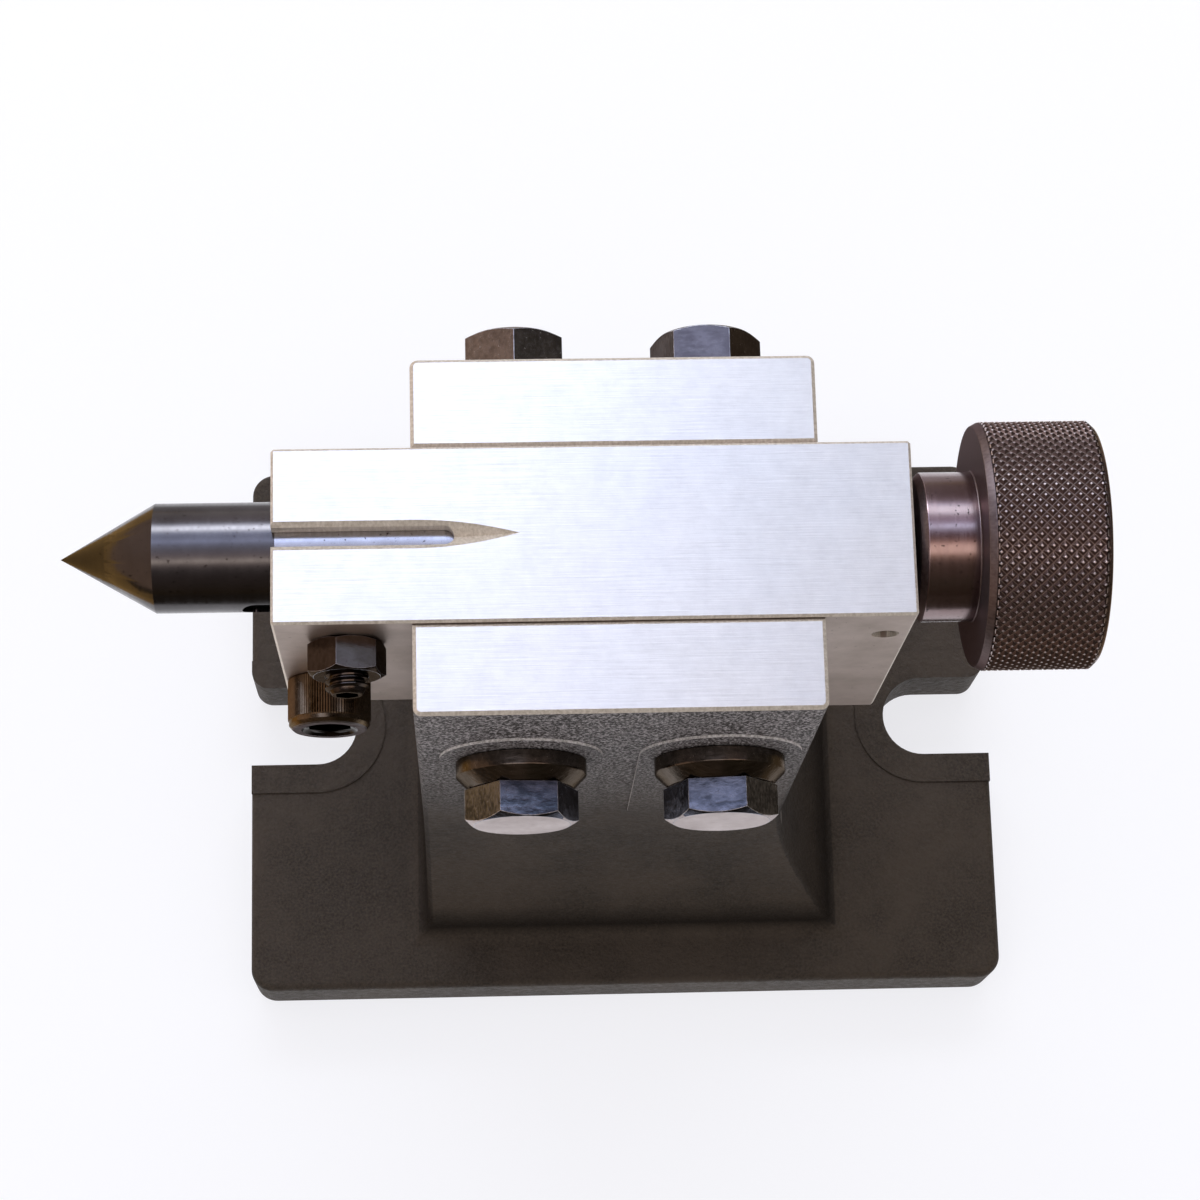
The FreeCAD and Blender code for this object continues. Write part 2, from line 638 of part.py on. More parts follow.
def knob():
    """Knob with its neck; local X starts at the neck's face."""
    body = new_body("knob", ("knob_face", "0", "axis_height"))
    profile = new_sketch(body, "knob_profile", "XZ_Plane")
    width = "neck_length + knob_width"
    outline(profile, [("0", "feed_radius + fit_gap"), ("0", "neck_radius - neck_bevel"),
                      ("neck_bevel", "neck_radius"), ("neck_length", "neck_radius"),
                      ("neck_length", "knob_radius - rim_rise"),
                      ("neck_length + rim_lead", "knob_radius"),
                      (width + " - rim_bevel", "knob_radius"), (width, "knob_radius - rim_bevel"),
                      (width, "knob_dish_radius"),
                      (width + " - knob_dish", "knob_dish_radius - knob_dish_taper"),
                      (width + " - knob_dish", "feed_radius + fit_gap")])
    revolve(body, "turned_knob", profile)
    hole = new_sketch(body, "screw_hole_outline", "XY_Plane")
    circle(hole, "neck_length / 2", "0", "grub_radius + fit_gap")
    pocket(body, "screw_hole", hole, "neck_radius + overrun")


def socket(body, flats, depth, top):
    """Hexagon socket sunk from a face at a height."""
    sketch = new_sketch(body, "socket_outline", "XY_Plane", top)
    hexagon(sketch, flats)
    pocket(body, "socket", sketch, depth)


def bevel_hexagon(body, name, flats, low, high):
    """Turn away the corners of a hexagon at one end face."""
    sketch = new_sketch(body, name, "XZ_Plane")
    reach = "(%s / sqrt(3) + hexagon_land)" % flats
    face = "(%s / 2 - hexagon_land)" % flats
    drop = "(%s - %s) * tan(hexagon_bevel * 1deg)" % (reach, face)
    edge = "%s - %s" % (high, drop) if low is None else "%s + %s" % (low, drop)
    plane = high if low is None else low
    outline(sketch, [(face, plane), (reach, edge), (reach, plane)])
    revolve(body, name + "_cut", sketch, axis="V_Axis", cut=True)


def clamp_bolt(name, place_x, turn):
    """Hexagon bolt through both cheeks and the housing, head to the front."""
    rotation = FACING_FRONT * Rotation(Vector(0, 0, 1), turn)
    body = new_body(name, (place_x, "-head_seat", "bolt_height"), rotation)
    head = new_sketch(body, "head_outline", "XY_Plane")
    hexagon(head, "bolt_flats")
    pad(body, "head", head, "bolt_head")
    bevel_hexagon(body, "head_bevel", "bolt_flats", None, "bolt_head")
    shank = new_sketch(body, "shank_outline", "XY_Plane")
    circle(shank, "0", "0", "bolt_radius")
    pad(body, "shank", shank, "bolt_length", reverse=True)
    dress(body, "Chamfer", "shank_end", "bolt_end", lambda point: near(point.z, "-bolt_length"))


def hexagon_nut(name, place, rotation, flats, height, radius):
    """Nut with both faces bevelled, seated at its local origin."""
    body = new_body(name, place, rotation)
    blank = new_sketch(body, "nut_outline", "XY_Plane")
    hexagon(blank, flats)
    circle(blank, "0", "0", radius + " + fit_gap")
    pad(body, "blank", blank, height)
    bevel_hexagon(body, "outer_bevel", flats, None, height)
    bevel_hexagon(body, "inner_bevel", flats, "0", None)


def clamp_washer(name, place_x, place_y, rotation):
    """Thick washer with a wide bevel on its outer face."""
    body = new_body(name, (place_x, place_y, "bolt_height"), rotation)
    profile = new_sketch(body, "washer_profile", "XZ_Plane")
    outline(profile, [("washer_hole", "0"), ("washer_radius", "0"),
                      ("washer_radius", "washer_thick - washer_chamfer"),
                      ("washer_radius - washer_chamfer", "washer_thick"),
                      ("washer_hole", "washer_thick")])
    revolve(body, "ring", profile, axis="V_Axis")


def nose_clamp_screw():
    """Socket cap screw that closes the split nose; its head stands proud of the front face."""
    body = new_body("nose_clamp_screw", ("clamp_x", "-housing_width / 2", "clamp_height"),
                    FACING_FRONT)
    head = new_sketch(body, "head_outline", "XY_Plane")
    circle(head, "0", "0", "clamp_head_radius")
    pad(body, "head", head, "clamp_head")
    dress(body, "Chamfer", "head_edge", "clamp_head_edge", lambda point: near(point.z, "clamp_head"))
    shank = new_sketch(body, "shank_outline", "XY_Plane")
    circle(shank, "0", "0", "clamp_radius")
    pad(body, "shank", shank, "clamp_length", reverse=True)
    socket(body, "clamp_socket", "clamp_head / 2", "clamp_head")


def quill_key_screw():
    """Dog-point screw that runs in the quill's keyway; local Z points out of the housing."""
    body = new_body("quill_key_screw", ("key_screw_x", "-housing_width / 2", "axis_height"),
                    FACING_FRONT)
    dog_tip = "quill_radius - keyslot_depth + dog_play - housing_width / 2"
    dog_base = "quill_radius + dog_play - housing_width / 2"
    shank = new_sketch(body, "shank_outline", "XY_Plane", dog_base)
    circle(shank, "0", "0", "key_screw_radius")
    pad(body, "shank", shank, "key_screw_out - (%s)" % dog_base)
    dress(body, "Chamfer", "end_edge", "key_screw_edge",
          lambda point: near(point.z, "key_screw_out"))
    dog = new_sketch(body, "dog_outline", "XY_Plane", dog_tip)
    circle(dog, "0", "0", "key_dog_radius")
    pad(body, "dog", dog, "%s - (%s) + bolt_end" % (dog_base, dog_tip))
    socket(body, "key_socket", "key_socket", "key_screw_out")


def retaining_screw():
    """Small dog-point screw whose point runs in the feed screw's groove."""
    body = new_body("retaining_screw", ("retainer_x", "-housing_width / 2 + grub_sink", "axis_height"),
                    FACING_FRONT)
    tip = "journal_radius - journal_groove_depth + dog_play + grub_sink - housing_width / 2"
    shank = new_sketch(body, "shank_outline", "XY_Plane")
    circle(shank, "0", "0", "grub_radius")
    pad(body, "shank", shank, "-(%s) - grub_dog_length" % tip, reverse=True)
    dog = new_sketch(body, "dog_outline", "XY_Plane", tip)
    circle(dog, "0", "0", "grub_dog_radius")
    pad(body, "dog", dog, "grub_dog_length + bolt_end")
    socket(body, "grub_socket", "grub_socket", "0")


def knob_screw():
    """Grub screw that holds the knob on the feed screw, driven in from below."""
    place = ("knob_face + neck_length / 2", "0", "axis_height - feed_radius - fit_gap")
    body = new_body("knob_screw", place, FACING_DOWN)
    shank = new_sketch(body, "shank_outline", "XY_Plane")
    circle(shank, "0", "0", "grub_radius")
    pad(body, "shank", shank, "grub_length")
    socket(body, "grub_socket", "grub_socket", "grub_length")


def clamp_bolts():
    """Two through bolts, each with a washer under its head, a washer under its nut, and the nut."""
    for name, place_x, head_turn, nut_turn in (("nose", "nose_x", NOSE_HEAD_TURN, NOSE_NUT_TURN),
                                               ("pivot", "pivot_x", PIVOT_HEAD_TURN, PIVOT_NUT_TURN)):
        clamp_bolt(name + "_bolt", place_x, head_turn)
        clamp_washer(name + "_washer_front", place_x, "-washer_seat", FACING_FRONT)
        clamp_washer(name + "_washer_rear", place_x, "washer_seat", FACING_REAR)
        hexagon_nut(name + "_nut", (place_x, "head_seat", "bolt_height"),
                    FACING_REAR * Rotation(Vector(0, 0, 1), nut_turn),
                    "bolt_flats", "nut_height", "bolt_radius")


def check_and_export():
    """Stop at any failed object or unsound shape, then write each sub-part."""
    for item in doc.Objects:
        if "Invalid" in item.State or "Error" in item.State:
            raise ValueError("%s failed: %s" % (item.Label, item.State))
    for body in sub_parts:
        shape = body.Shape
        if shape.isNull() or not shape.isValid() or len(shape.Solids) != 1:
            raise ValueError("%s isn't one sound solid" % body.Label)
    os.makedirs("parts", exist_ok=True)
    for body in sub_parts:
        body.Shape.exportStep("parts/%s.step" % body.Label)
        print("%-22s %9.0f mm3" % (body.Label, body.Shape.Volume))


fill_sheet()
base_casting()
quill_housing()
quill()
feed_nut()
thrust_washer()
feed_screw()
knob()
knob_screw()
retaining_screw()
quill_key_screw()
hexagon_nut("lock_nut", ("key_screw_x", "-housing_width / 2", "axis_height"),
            FACING_FRONT * Rotation(Vector(0, 0, 1), LOCK_NUT_TURN), "lock_nut_flats",
            "lock_nut_height", "key_screw_radius")
nose_clamp_screw()
clamp_bolts()
doc.recompute()
check_and_export()
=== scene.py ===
import math

import bmesh
import bpy
from mathutils import Matrix, Vector

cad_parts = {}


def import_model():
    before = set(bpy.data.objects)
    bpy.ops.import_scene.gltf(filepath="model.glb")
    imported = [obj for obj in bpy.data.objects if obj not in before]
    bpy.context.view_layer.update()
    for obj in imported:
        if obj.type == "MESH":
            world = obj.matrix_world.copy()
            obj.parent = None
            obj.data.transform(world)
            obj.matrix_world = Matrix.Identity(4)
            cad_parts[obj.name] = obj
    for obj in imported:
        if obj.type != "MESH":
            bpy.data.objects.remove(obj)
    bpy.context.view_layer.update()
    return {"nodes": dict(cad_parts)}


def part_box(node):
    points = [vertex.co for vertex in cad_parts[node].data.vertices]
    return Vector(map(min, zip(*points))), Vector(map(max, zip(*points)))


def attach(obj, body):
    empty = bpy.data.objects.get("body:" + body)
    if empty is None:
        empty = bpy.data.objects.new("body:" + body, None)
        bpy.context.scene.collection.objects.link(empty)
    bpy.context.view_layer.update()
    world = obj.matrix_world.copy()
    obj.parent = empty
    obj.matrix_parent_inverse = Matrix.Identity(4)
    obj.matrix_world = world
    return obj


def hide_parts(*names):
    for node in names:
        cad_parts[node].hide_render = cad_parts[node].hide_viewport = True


# Lengths in this script are millimetres, and a piece is brought to metres once its shape is done.
MM = 0.001

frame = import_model()

# Driving places and sizes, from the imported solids.
QUILL_LOW, QUILL_HIGH = (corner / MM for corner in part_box("quill"))
HOUSING_LOW, HOUSING_HIGH = (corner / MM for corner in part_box("quill_housing"))
KNOB_LOW, KNOB_HIGH = (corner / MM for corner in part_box("knob"))
CASTING_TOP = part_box("base_casting")[1].z / MM
AXIS_HEIGHT = (QUILL_LOW.z + QUILL_HIGH.z) / 2
QUILL_RADIUS = (QUILL_HIGH.z - QUILL_LOW.z) / 2
KNOB_RADIUS = (KNOB_HIGH.z - KNOB_LOW.z) / 2
HOUSING_FRONT = HOUSING_LOW.y

BASE_TOP = 17.0
SEAT_RISE = 0.4
PAD_RISE = 0.5
PAD_PAST_WASHER = 3.1
RIM_SKIN = 0.03
NECK_RADIUS = 14.0
NECK_LENGTH = 11.0
NECK_BEVEL = 1.2
NECK_FILLET = 0.3
RIM_LEAD = 1.4
RIM_RISE = 0.8
RIM_BEVEL = 0.8
KNURL_AROUND = 69
KNURL_AXIAL_PITCH = 2.12
KNURL_DEPTH = 0.62
KNURL_FLANK = 0.60
KNURL_FADE = 0.5
KNOB_DISH = 3.0
KNOB_DISH_RADIUS = 14.0
KNOB_BORE = 5.05

GUIDE_CORE = 3.35
GUIDE_CREST = 3.98
GUIDE_PITCH = 1.25
GUIDE_SOCKET = 4.0
DOG_RADIUS = 2.5

CAP_RADIUS = 7.98
CAP_BAND_RADIUS = 7.78
CAP_BAND = 1.9
CAP_RIBS = 96
CAP_RIB_DEPTH = 0.982
CAP_SHANK = 4.95
CAP_SOCKET = 8.0
CAP_SOCKET_DEPTH = 5.0
CAP_MOUTH = 5.3
CAP_RING = 7.3

ROUND_STEPS = 128
THREAD_STEPS = 40
SMALL_BREAK = 0.12
SHARP_EDGE = 28

# Room light seen in polished steel: angle from overhead in degrees, rear positive, and its colour.
ARCH_SPAN = 97.0
ARCH_STEPS = 96
ARCH_RADIUS = 1.2
ARCH_HALF_LENGTH = 2.0
ROOM_BRIGHTEST = 11.0
ROOM_CHANGE = (0.045, 0.12)
ROOM_AT_NOSE = (
    (-97, (0.078, 0.0455, 0.013)), (-75, (0.117, 0.0845, 0.065)), (-55, (0.169, 0.13, 0.117)),
    (-42, (0.26, 0.221, 0.208)), (-36, (0.416, 0.338, 0.325)), (-30, (0.78, 0.65, 0.611)),
    (-26, (1.76, 1.49, 1.3)), (-22, (3.25, 2.86, 2.54)), (-18, (1.69, 1.43, 1.3)),
    (-14, (1.12, 0.936, 0.91)), (-6, (0.91, 0.806, 0.884)), (3, (0.832, 0.819, 0.962)),
    (10, (1.04, 1.08, 1.4)), (15, (1.3, 1.43, 1.95)), (19, (2.21, 2.47, 3.51)), (23, (1.76, 1.95, 2.73)),
    (29, (1.23, 1.37, 1.89)), (37, (1.43, 1.62, 2.34)), (43, (3.64, 3.9, 4.55)), (46, (9.1, 9.62, 10.7)),
    (52, (9.1, 9.62, 10.7)), (56, (3.9, 4.16, 4.94)), (60, (1.17, 1.17, 1.43)),
    (65, (0.676, 0.598, 0.65)), (82, (0.702, 0.637, 0.637)), (97, (0.858, 0.78, 0.754)))
ROOM_AT_KNOB = (
    (-97, (0.0324, 0.018, 0.0072)), (-70, (0.0504, 0.0396, 0.0216)), (-57, (0.0792, 0.054, 0.036)),
    (-44, (0.0864, 0.0576, 0.036)), (-38, (0.13, 0.0864, 0.0576)), (-32, (0.252, 0.158, 0.108)),
    (-27, (0.72, 0.504, 0.36)), (-23, (1.66, 1.3, 1.08)), (-12, (1.66, 1.3, 1.08)),
    (-8, (0.648, 0.396, 0.324)), (-3, (0.216, 0.13, 0.115)), (5, (0.194, 0.13, 0.137)),
    (9, (0.432, 0.396, 0.54)), (13, (0.936, 1.08, 1.37)), (15, (1.87, 2.23, 2.88)),
    (18, (1.87, 2.23, 2.88)), (21, (0.792, 0.792, 1.08)), (25, (0.612, 0.518, 0.684)),
    (30, (0.54, 0.432, 0.562)), (35, (0.864, 0.864, 1.01)), (39, (2.3, 2.59, 2.88)),
    (47, (2.3, 2.59, 2.88)), (52, (1.22, 1.37, 1.8)), (56, (0.432, 0.36, 0.504)),
    (61, (0.194, 0.137, 0.137)), (74, (0.173, 0.13, 0.122)), (97, (0.238, 0.194, 0.18)))

WORLD_IN_PICTURE = 1.0
WORLD_ON_OBJECT = 0.66

CAMERA_PLACE = (-0.0332, -0.1609, 0.7319)
CAMERA_TURN = (14.9088, -1.9563, -1.4311)
CAMERA_LENS = 95.64
SENSOR_WIDTH = 36

TURNED_TO_KNOB = Matrix.Rotation(math.radians(90), 4, "Y")
TURNED_TO_FRONT = Matrix.Rotation(math.radians(90), 4, "X")
TO_METRES = Matrix.Scale(MM, 4)


# Shader helpers. Every pattern reads Object coordinates, in metres.

class Finish:
    """Material under construction: its nodes, its shader and short ways to add to them."""

    def __init__(self, name):
        self.material = bpy.data.materials.new(name)
        self.material.use_nodes = True
        self.nodes = self.material.node_tree.nodes
        self.links = self.material.node_tree.links
        self.shader = self.nodes["Principled BSDF"]
        self.place = self.nodes.new("ShaderNodeTexCoord").outputs["Object"]

    def set(self, **values):
        for name, value in values.items():
            self.shader.inputs[name.replace("_", " ")].default_value = value
        return self

    def join(self, source, name):
        self.links.new(source, self.shader.inputs[name])

    def stretched(self, scale):
        """Place scaled along each axis, for streaks."""
        node = self.nodes.new("ShaderNodeMapping")
        node.inputs["Scale"].default_value = scale
        self.links.new(self.place, node.inputs["Vector"])
        return node.outputs["Vector"]

    def noise(self, scale, detail=4.0, roughness=0.6, place=None):
        node = self.nodes.new("ShaderNodeTexNoise")
        node.inputs["Scale"].default_value = scale
        node.inputs["Detail"].default_value = detail
        node.inputs["Roughness"].default_value = roughness
        self.links.new(place or self.place, node.inputs["Vector"])
        return node.outputs["Fac"]

    def spread(self, source, low, high, first=0.0, last=1.0):
        """Number carried from one range to another, held at both ends."""
        node = self.nodes.new("ShaderNodeMapRange")
        for name, value in (("From Min", low), ("From Max", high), ("To Min", first), ("To Max", last)):
            node.inputs[name].default_value = value
        self.links.new(source, node.inputs["Value"])
        return node.outputs["Result"]

    def blend(self, amount, dark, light):
        """Colour between two, each a colour or the output of a node."""
        node = self.nodes.new("ShaderNodeMix")
        node.data_type = "RGBA"
        self.links.new(amount, node.inputs["Factor"])
        for socket, colour in ((node.inputs["A"], dark), (node.inputs["B"], light)):
            if isinstance(colour, tuple):
                socket.default_value = (*colour, 1.0)
            else:
                self.links.new(colour, socket)
        return node.outputs["Result"]

    def bands(self, source, stops):
        """Colour that follows a number through pairs of a place and a colour."""
        node = self.nodes.new("ShaderNodeValToRGB")
        elements = node.color_ramp.elements
        while len(elements) < len(stops):
            elements.new(0.5)
        for element, (position, colour) in zip(elements, stops):
            element.position = position
            element.color = (*colour, 1.0)
        self.links.new(source, node.inputs["Fac"])
        return node.outputs["Color"]

    def axes(self):
        """Place along X, Y and Z."""
        node = self.nodes.new("ShaderNodeSeparateXYZ")
        self.links.new(self.place, node.inputs["Vector"])
        return node.outputs["X"], node.outputs["Y"], node.outputs["Z"]

    def combined(self, operation, first, second):
        node = self.nodes.new("ShaderNodeMath")
        node.operation = operation
        self.links.new(first, node.inputs[0])
        self.links.new(second, node.inputs[1])
        return node.outputs["Value"]

    def raised(self, height, distance, strength=1.0, under=None):
        """Bump from a height, laid over another one."""
        node = self.nodes.new("ShaderNodeBump")
        node.inputs["Strength"].default_value = strength
        node.inputs["Distance"].default_value = distance
        self.links.new(height, node.inputs["Height"])
        if under:
            self.links.new(under, node.inputs["Normal"])
        return node.outputs["Normal"]


def sand_cast_iron(name, shade):
    """Sand casting: brown grain, slow stains, painted shade low on the column and bright sand on the arms.
    """
    finish = Finish(name).set(Metallic=0.0, Specular_IOR_Level=0.25)
    stains = finish.noise(45, 3)
    grain = finish.noise(1700, 4, 0.7)
    sand = finish.noise(700, 3, 0.6)
    height = finish.axes()[2]
    arms = finish.spread(height, 0.080, 0.150)
    # shade scales the ground colours, and the copy at 0.6 is painted shade for the faces turned to the
    # sides.
    dark, light, grains = [tuple(channel * shade for channel in colour) for colour in
                           ((0.019, 0.0130, 0.0080), (0.048, 0.034, 0.0235), (0.058, 0.042, 0.029))]
    ground = finish.blend(finish.spread(stains, 0.38, 0.62), dark, light)
    ground = finish.blend(finish.spread(grain, 0.35, 0.7), ground, grains)
    # Painted shade: the ground darkens in a band just above the flange, in the crease of the column's
    # fillet.
    foot_shade = finish.combined("MULTIPLY", finish.spread(height, 0.0176, 0.0195),
                           finish.spread(height, 0.0195, 0.027, 1.0, 0.0))
    ground = finish.blend(foot_shade, ground, (0.014, 0.0095, 0.006))
    ground = finish.blend(arms, ground, (0.026, 0.021, 0.019))
    specks = finish.combined("MULTIPLY", finish.spread(grain, 0.48, 0.60), arms)
    finish.join(finish.blend(specks, ground, (0.38, 0.345, 0.345)), "Base Color")
    finish.join(finish.spread(sand, 0.3, 0.7, 0.5, 0.72), "Roughness")
    coarse = finish.raised(sand, 0.0006, 0.5)
    finish.join(finish.raised(grain, 0.0003, 0.6, coarse), "Normal")
    return finish.material


def rim_highlight_casting():
    """Rims of the casting's low steps: a pale painted highlight on the pad rims of the upright arms, and a
    duller painted light that lifts the shade of the seat steps lower down.
    """
    finish = Finish("rim_highlight_casting").set(Metallic=0.0, Specular_IOR_Level=0.3, Roughness=0.6)
    sand = finish.noise(1300, 4, 0.7)
    height = finish.axes()[2]
    arms = finish.spread(height, 0.060, 0.100)
    pale = finish.blend(arms, (0.075, 0.060, 0.050), (0.80, 0.75, 0.73))
    dull = finish.blend(arms, (0.055, 0.042, 0.034), (0.40, 0.36, 0.34))
    finish.join(finish.blend(finish.spread(sand, 0.4, 0.6), dull, pale), "Base Color")
    finish.join(finish.raised(sand, 0.0003, 0.5), "Normal")
    return finish.material


def milled_iron():
    """Machined ends of the cheeks: plain grey iron with cutter lines and handling stains."""
    finish = Finish("milled_iron").set(Metallic=0.75)
    lines = finish.noise(1.0, 3, 0.6, finish.stretched((2500, 2500, 120)))
    stains = finish.noise(70, 4)
    finish.join(finish.blend(finish.spread(stains, 0.3, 0.7), (0.26, 0.22, 0.20), (0.42, 0.38, 0.36)),
                "Base Color")
    finish.join(finish.spread(lines, 0.2, 0.8, 0.38, 0.55), "Roughness")
    finish.join(finish.raised(lines, 0.0001, 0.25), "Normal")
    return finish.material


def ground_top():
    """Surface-ground steel: fine lengthwise lines that stretch reflections, and soft mottling."""
    finish = Finish("ground_top").set(Metallic=1.0, Anisotropic=0.8)
    across = finish.nodes.new("ShaderNodeTangent")
    across.direction_type = "RADIAL"
    across.axis = "X"
    finish.join(across.outputs["Tangent"], "Tangent")
    lines = finish.noise(1.0, 4, 0.65, finish.stretched((70, 2600, 2600)))
    short = finish.noise(1.0, 3, 0.6, finish.stretched((420, 3600, 3600)))
    mottle = finish.noise(260, 5, 0.65)
    cloud = finish.noise(28, 2)
    pale = finish.blend(finish.spread(mottle, 0.3, 0.7), (0.59, 0.59, 0.57), (0.665, 0.665, 0.64))
    finish.join(finish.blend(finish.spread(short, 0.35, 0.8, 0.0, 0.4), pale, (0.74, 0.74, 0.72)),
                "Base Color")
    finish.join(finish.spread(cloud, 0.3, 0.7, 0.28, 0.34), "Roughness")
    under = finish.raised(mottle, 0.00004, 0.35)
    finish.join(finish.raised(lines, 0.00005, 0.6, under), "Normal")
    return finish.material


def ground_side():
    """Sides of the housing: ground steel that has gone grey-brown with oil and handling."""
    finish = Finish("ground_side").set(Metallic=0.9)
    lines = finish.noise(1.0, 3, 0.6, finish.stretched((90, 2600, 2600)))
    stains = finish.noise(55, 5, 0.6)
    dots = finish.noise(900, 2, 0.5)
    skin = finish.blend(finish.spread(stains, 0.35, 0.7), (0.56, 0.47, 0.42), (0.34, 0.28, 0.24))
    finish.join(finish.blend(finish.spread(dots, 0.68, 0.78), skin, (0.12, 0.09, 0.07)), "Base Color")
    finish.join(finish.spread(stains, 0.3, 0.7, 0.34, 0.48), "Roughness")
    finish.join(finish.raised(lines, 0.00006, 0.4), "Normal")
    return finish.material


def bare_edge():
    """Broken edges and milled grooves: brown-grey bare metal with short cutter marks."""
    finish = Finish("bare_edge").set(Metallic=0.35)
    marks = finish.noise(1.0, 3, 0.6, finish.stretched((1700, 1700, 300)))
    finish.join(finish.blend(finish.spread(marks, 0.3, 0.7), (0.52, 0.45, 0.37), (0.76, 0.69, 0.61)),
                "Base Color")
    finish.join(finish.spread(marks, 0.2, 0.8, 0.38, 0.55), "Roughness")
    finish.join(finish.raised(marks, 0.00012, 0.4), "Normal")
    return finish.material


def worn_edge():
    """Corners of nuts and bolt heads, worn through the black to pale steel."""
    finish = Finish("worn_edge").set(Metallic=0.9)
    wear = finish.noise(500, 4, 0.7)
    finish.join(finish.blend(finish.spread(wear, 0.35, 0.6), (0.16, 0.15, 0.16), (0.55, 0.56, 0.62)),
                "Base Color")
    finish.join(finish.spread(wear, 0.3, 0.7, 0.3, 0.45), "Roughness")
    return finish.material


def dark_face(name, dark, light):
    """Dull blackened face that stays dark when it is seen along its surface; its colours are painted shade
    on the knob's inner faces and a painted reflection on the cap screw's end ring.
    """
    finish = Finish(name).set(Metallic=1.0, Specular_Tint=(0.30, 0.26, 0.26, 1))
    turning = finish.noise(1.0, 3, 0.6, finish.stretched((400, 1800, 1800)))
    finish.join(finish.blend(finish.spread(turning, 0.3, 0.7), dark, light), "Base Color")
    finish.join(finish.spread(turning, 0.25, 0.75, 0.34, 0.46), "Roughness")
    finish.join(finish.raised(turning, 0.00004, 0.4), "Normal")
    return finish.material


def blackened_turned(name, dark, light, rings):
    """Blackened and polished turned steel: faint turning rings, small pits and worn patches."""
    finish = Finish(name).set(Metallic=1.0)
    turning = finish.noise(1.0, 3, 0.6, finish.stretched((rings, 60, 60)))
    patches = finish.noise(110, 4, 0.6)
    pits = finish.noise(1300, 2, 0.5)
    skin = finish.blend(finish.spread(patches, 0.35, 0.7), dark, light)
    finish.join(finish.blend(finish.spread(pits, 0.66, 0.76), skin, (0.02, 0.016, 0.014)), "Base Color")
    finish.join(finish.spread(turning, 0.25, 0.75, 0.15, 0.25), "Roughness")
    finish.join(finish.raised(turning, 0.00004, 0.3), "Normal")
    return finish.material


def black_fastener(name, dark, light):
    """Screw steel with brushed grain under a thin oxide."""
    finish = Finish(name).set(Metallic=1.0, Specular_Tint=(0.5, 0.46, 0.42, 1))
    patches = finish.noise(170, 4, 0.6)
    grain = finish.noise(1.0, 4, 0.6, finish.stretched((260, 900, 2200)))
    brushed = finish.combined("ADD", patches, grain)
    finish.join(finish.blend(finish.spread(brushed, 0.85, 1.15), dark, light), "Base Color")
    finish.join(finish.spread(grain, 0.3, 0.7, 0.15, 0.28), "Roughness")
    finish.join(finish.raised(grain, 0.00010, 0.45), "Normal")
    return finish.material


def bolt_face():
    """Bare end of a bolt head, with its bevel, paler than the sides."""
    finish = Finish("bolt_face").set(Metallic=0.85)
    grain = finish.noise(900, 4, 0.6)
    stains = finish.noise(140, 3)
    finish.join(finish.blend(finish.spread(stains, 0.3, 0.75), (0.68, 0.62, 0.62), (0.46, 0.40, 0.395)),
                "Base Color")
    finish.join(finish.spread(grain, 0.3, 0.7, 0.42, 0.56), "Roughness")
    finish.join(finish.raised(grain, 0.00006, 0.4), "Normal")
    return finish.material


def knurl_with_painted_highlights():
    """Knurled rim: dark brown sides of the points, a painted highlight on each point and a painted
    highlight line along the grooves.
    """
    finish = Finish("knurl_with_painted_highlights").set(Metallic=0.85)
    # The attribute places painted highlights on the points and in the grooves; the colour ramp paints them
    # pale.
    worn = finish.nodes.new("ShaderNodeAttribute")
    worn.attribute_name = "painted_highlight"
    grain = finish.noise(1600, 3)
    finish.join(finish.bands(worn.outputs["Fac"], (
        (0.0, (0.44, 0.36, 0.31)), (0.08, (0.36, 0.28, 0.24)), (0.14, (0.17, 0.12, 0.10)),
        (0.26, (0.132, 0.088, 0.076)), (0.84, (0.100, 0.066, 0.057)), (0.92, (0.60, 0.52, 0.52)))),
                "Base Color")
    finish.join(finish.spread(grain, 0.3, 0.7, 0.30, 0.42), "Roughness")
    finish.join(finish.raised(grain, 0.00004, 0.3), "Normal")
    return finish.material


def bearing_bronze():
    """Turned bronze of the feed nut and the thrust washer."""
    finish = Finish("bearing_bronze").set(Metallic=1.0)
    turning = finish.noise(1.0, 3, 0.6, finish.stretched((2400, 80, 80)))
    patches = finish.noise(130, 3)
    finish.join(finish.blend(finish.spread(patches, 0.3, 0.7), (0.42, 0.24, 0.10), (0.58, 0.36, 0.17)),
                "Base Color")
    finish.join(finish.spread(turning, 0.3, 0.7, 0.26, 0.4), "Roughness")
    finish.join(finish.raised(turning, 0.00005, 0.4), "Normal")
    return finish.material


# Mesh helpers.

def object_of(name, shape, finishes):
    """New object that holds a shape and its finishes."""
    mesh = bpy.data.meshes.new(name)
    shape.to_mesh(mesh)
    shape.free()
    for finish in finishes:
        mesh.materials.append(finish)
    return bpy.data.objects.new(name, mesh)


def finished(name, shape, body, nodes, finishes, place=Matrix(), smooth=32):
    """Object from a shape: doubles merged, faces outwards, smooth but for its sharp edges."""
    shape.transform(place)
    bmesh.ops.remove_doubles(shape, verts=shape.verts, dist=0.002)
    shape.transform(TO_METRES)
    bmesh.ops.recalc_face_normals(shape, faces=shape.faces)
    for face in shape.faces:
        face.smooth = True
    for edge in shape.edges:
        edge.smooth = len(edge.link_faces) == 2 and edge.calc_face_angle(0) < math.radians(smooth)
    piece = object_of(name, shape, finishes)
    bpy.context.scene.collection.objects.link(piece)
    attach(piece, body)
    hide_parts(*nodes)
    return piece


def shaded_evenly(piece):
    """Keep broad faces flat or true to their curve where narrow broken edges join them."""
    piece.modifiers.new("even_shading", "WEIGHTED_NORMAL").keep_sharp = True


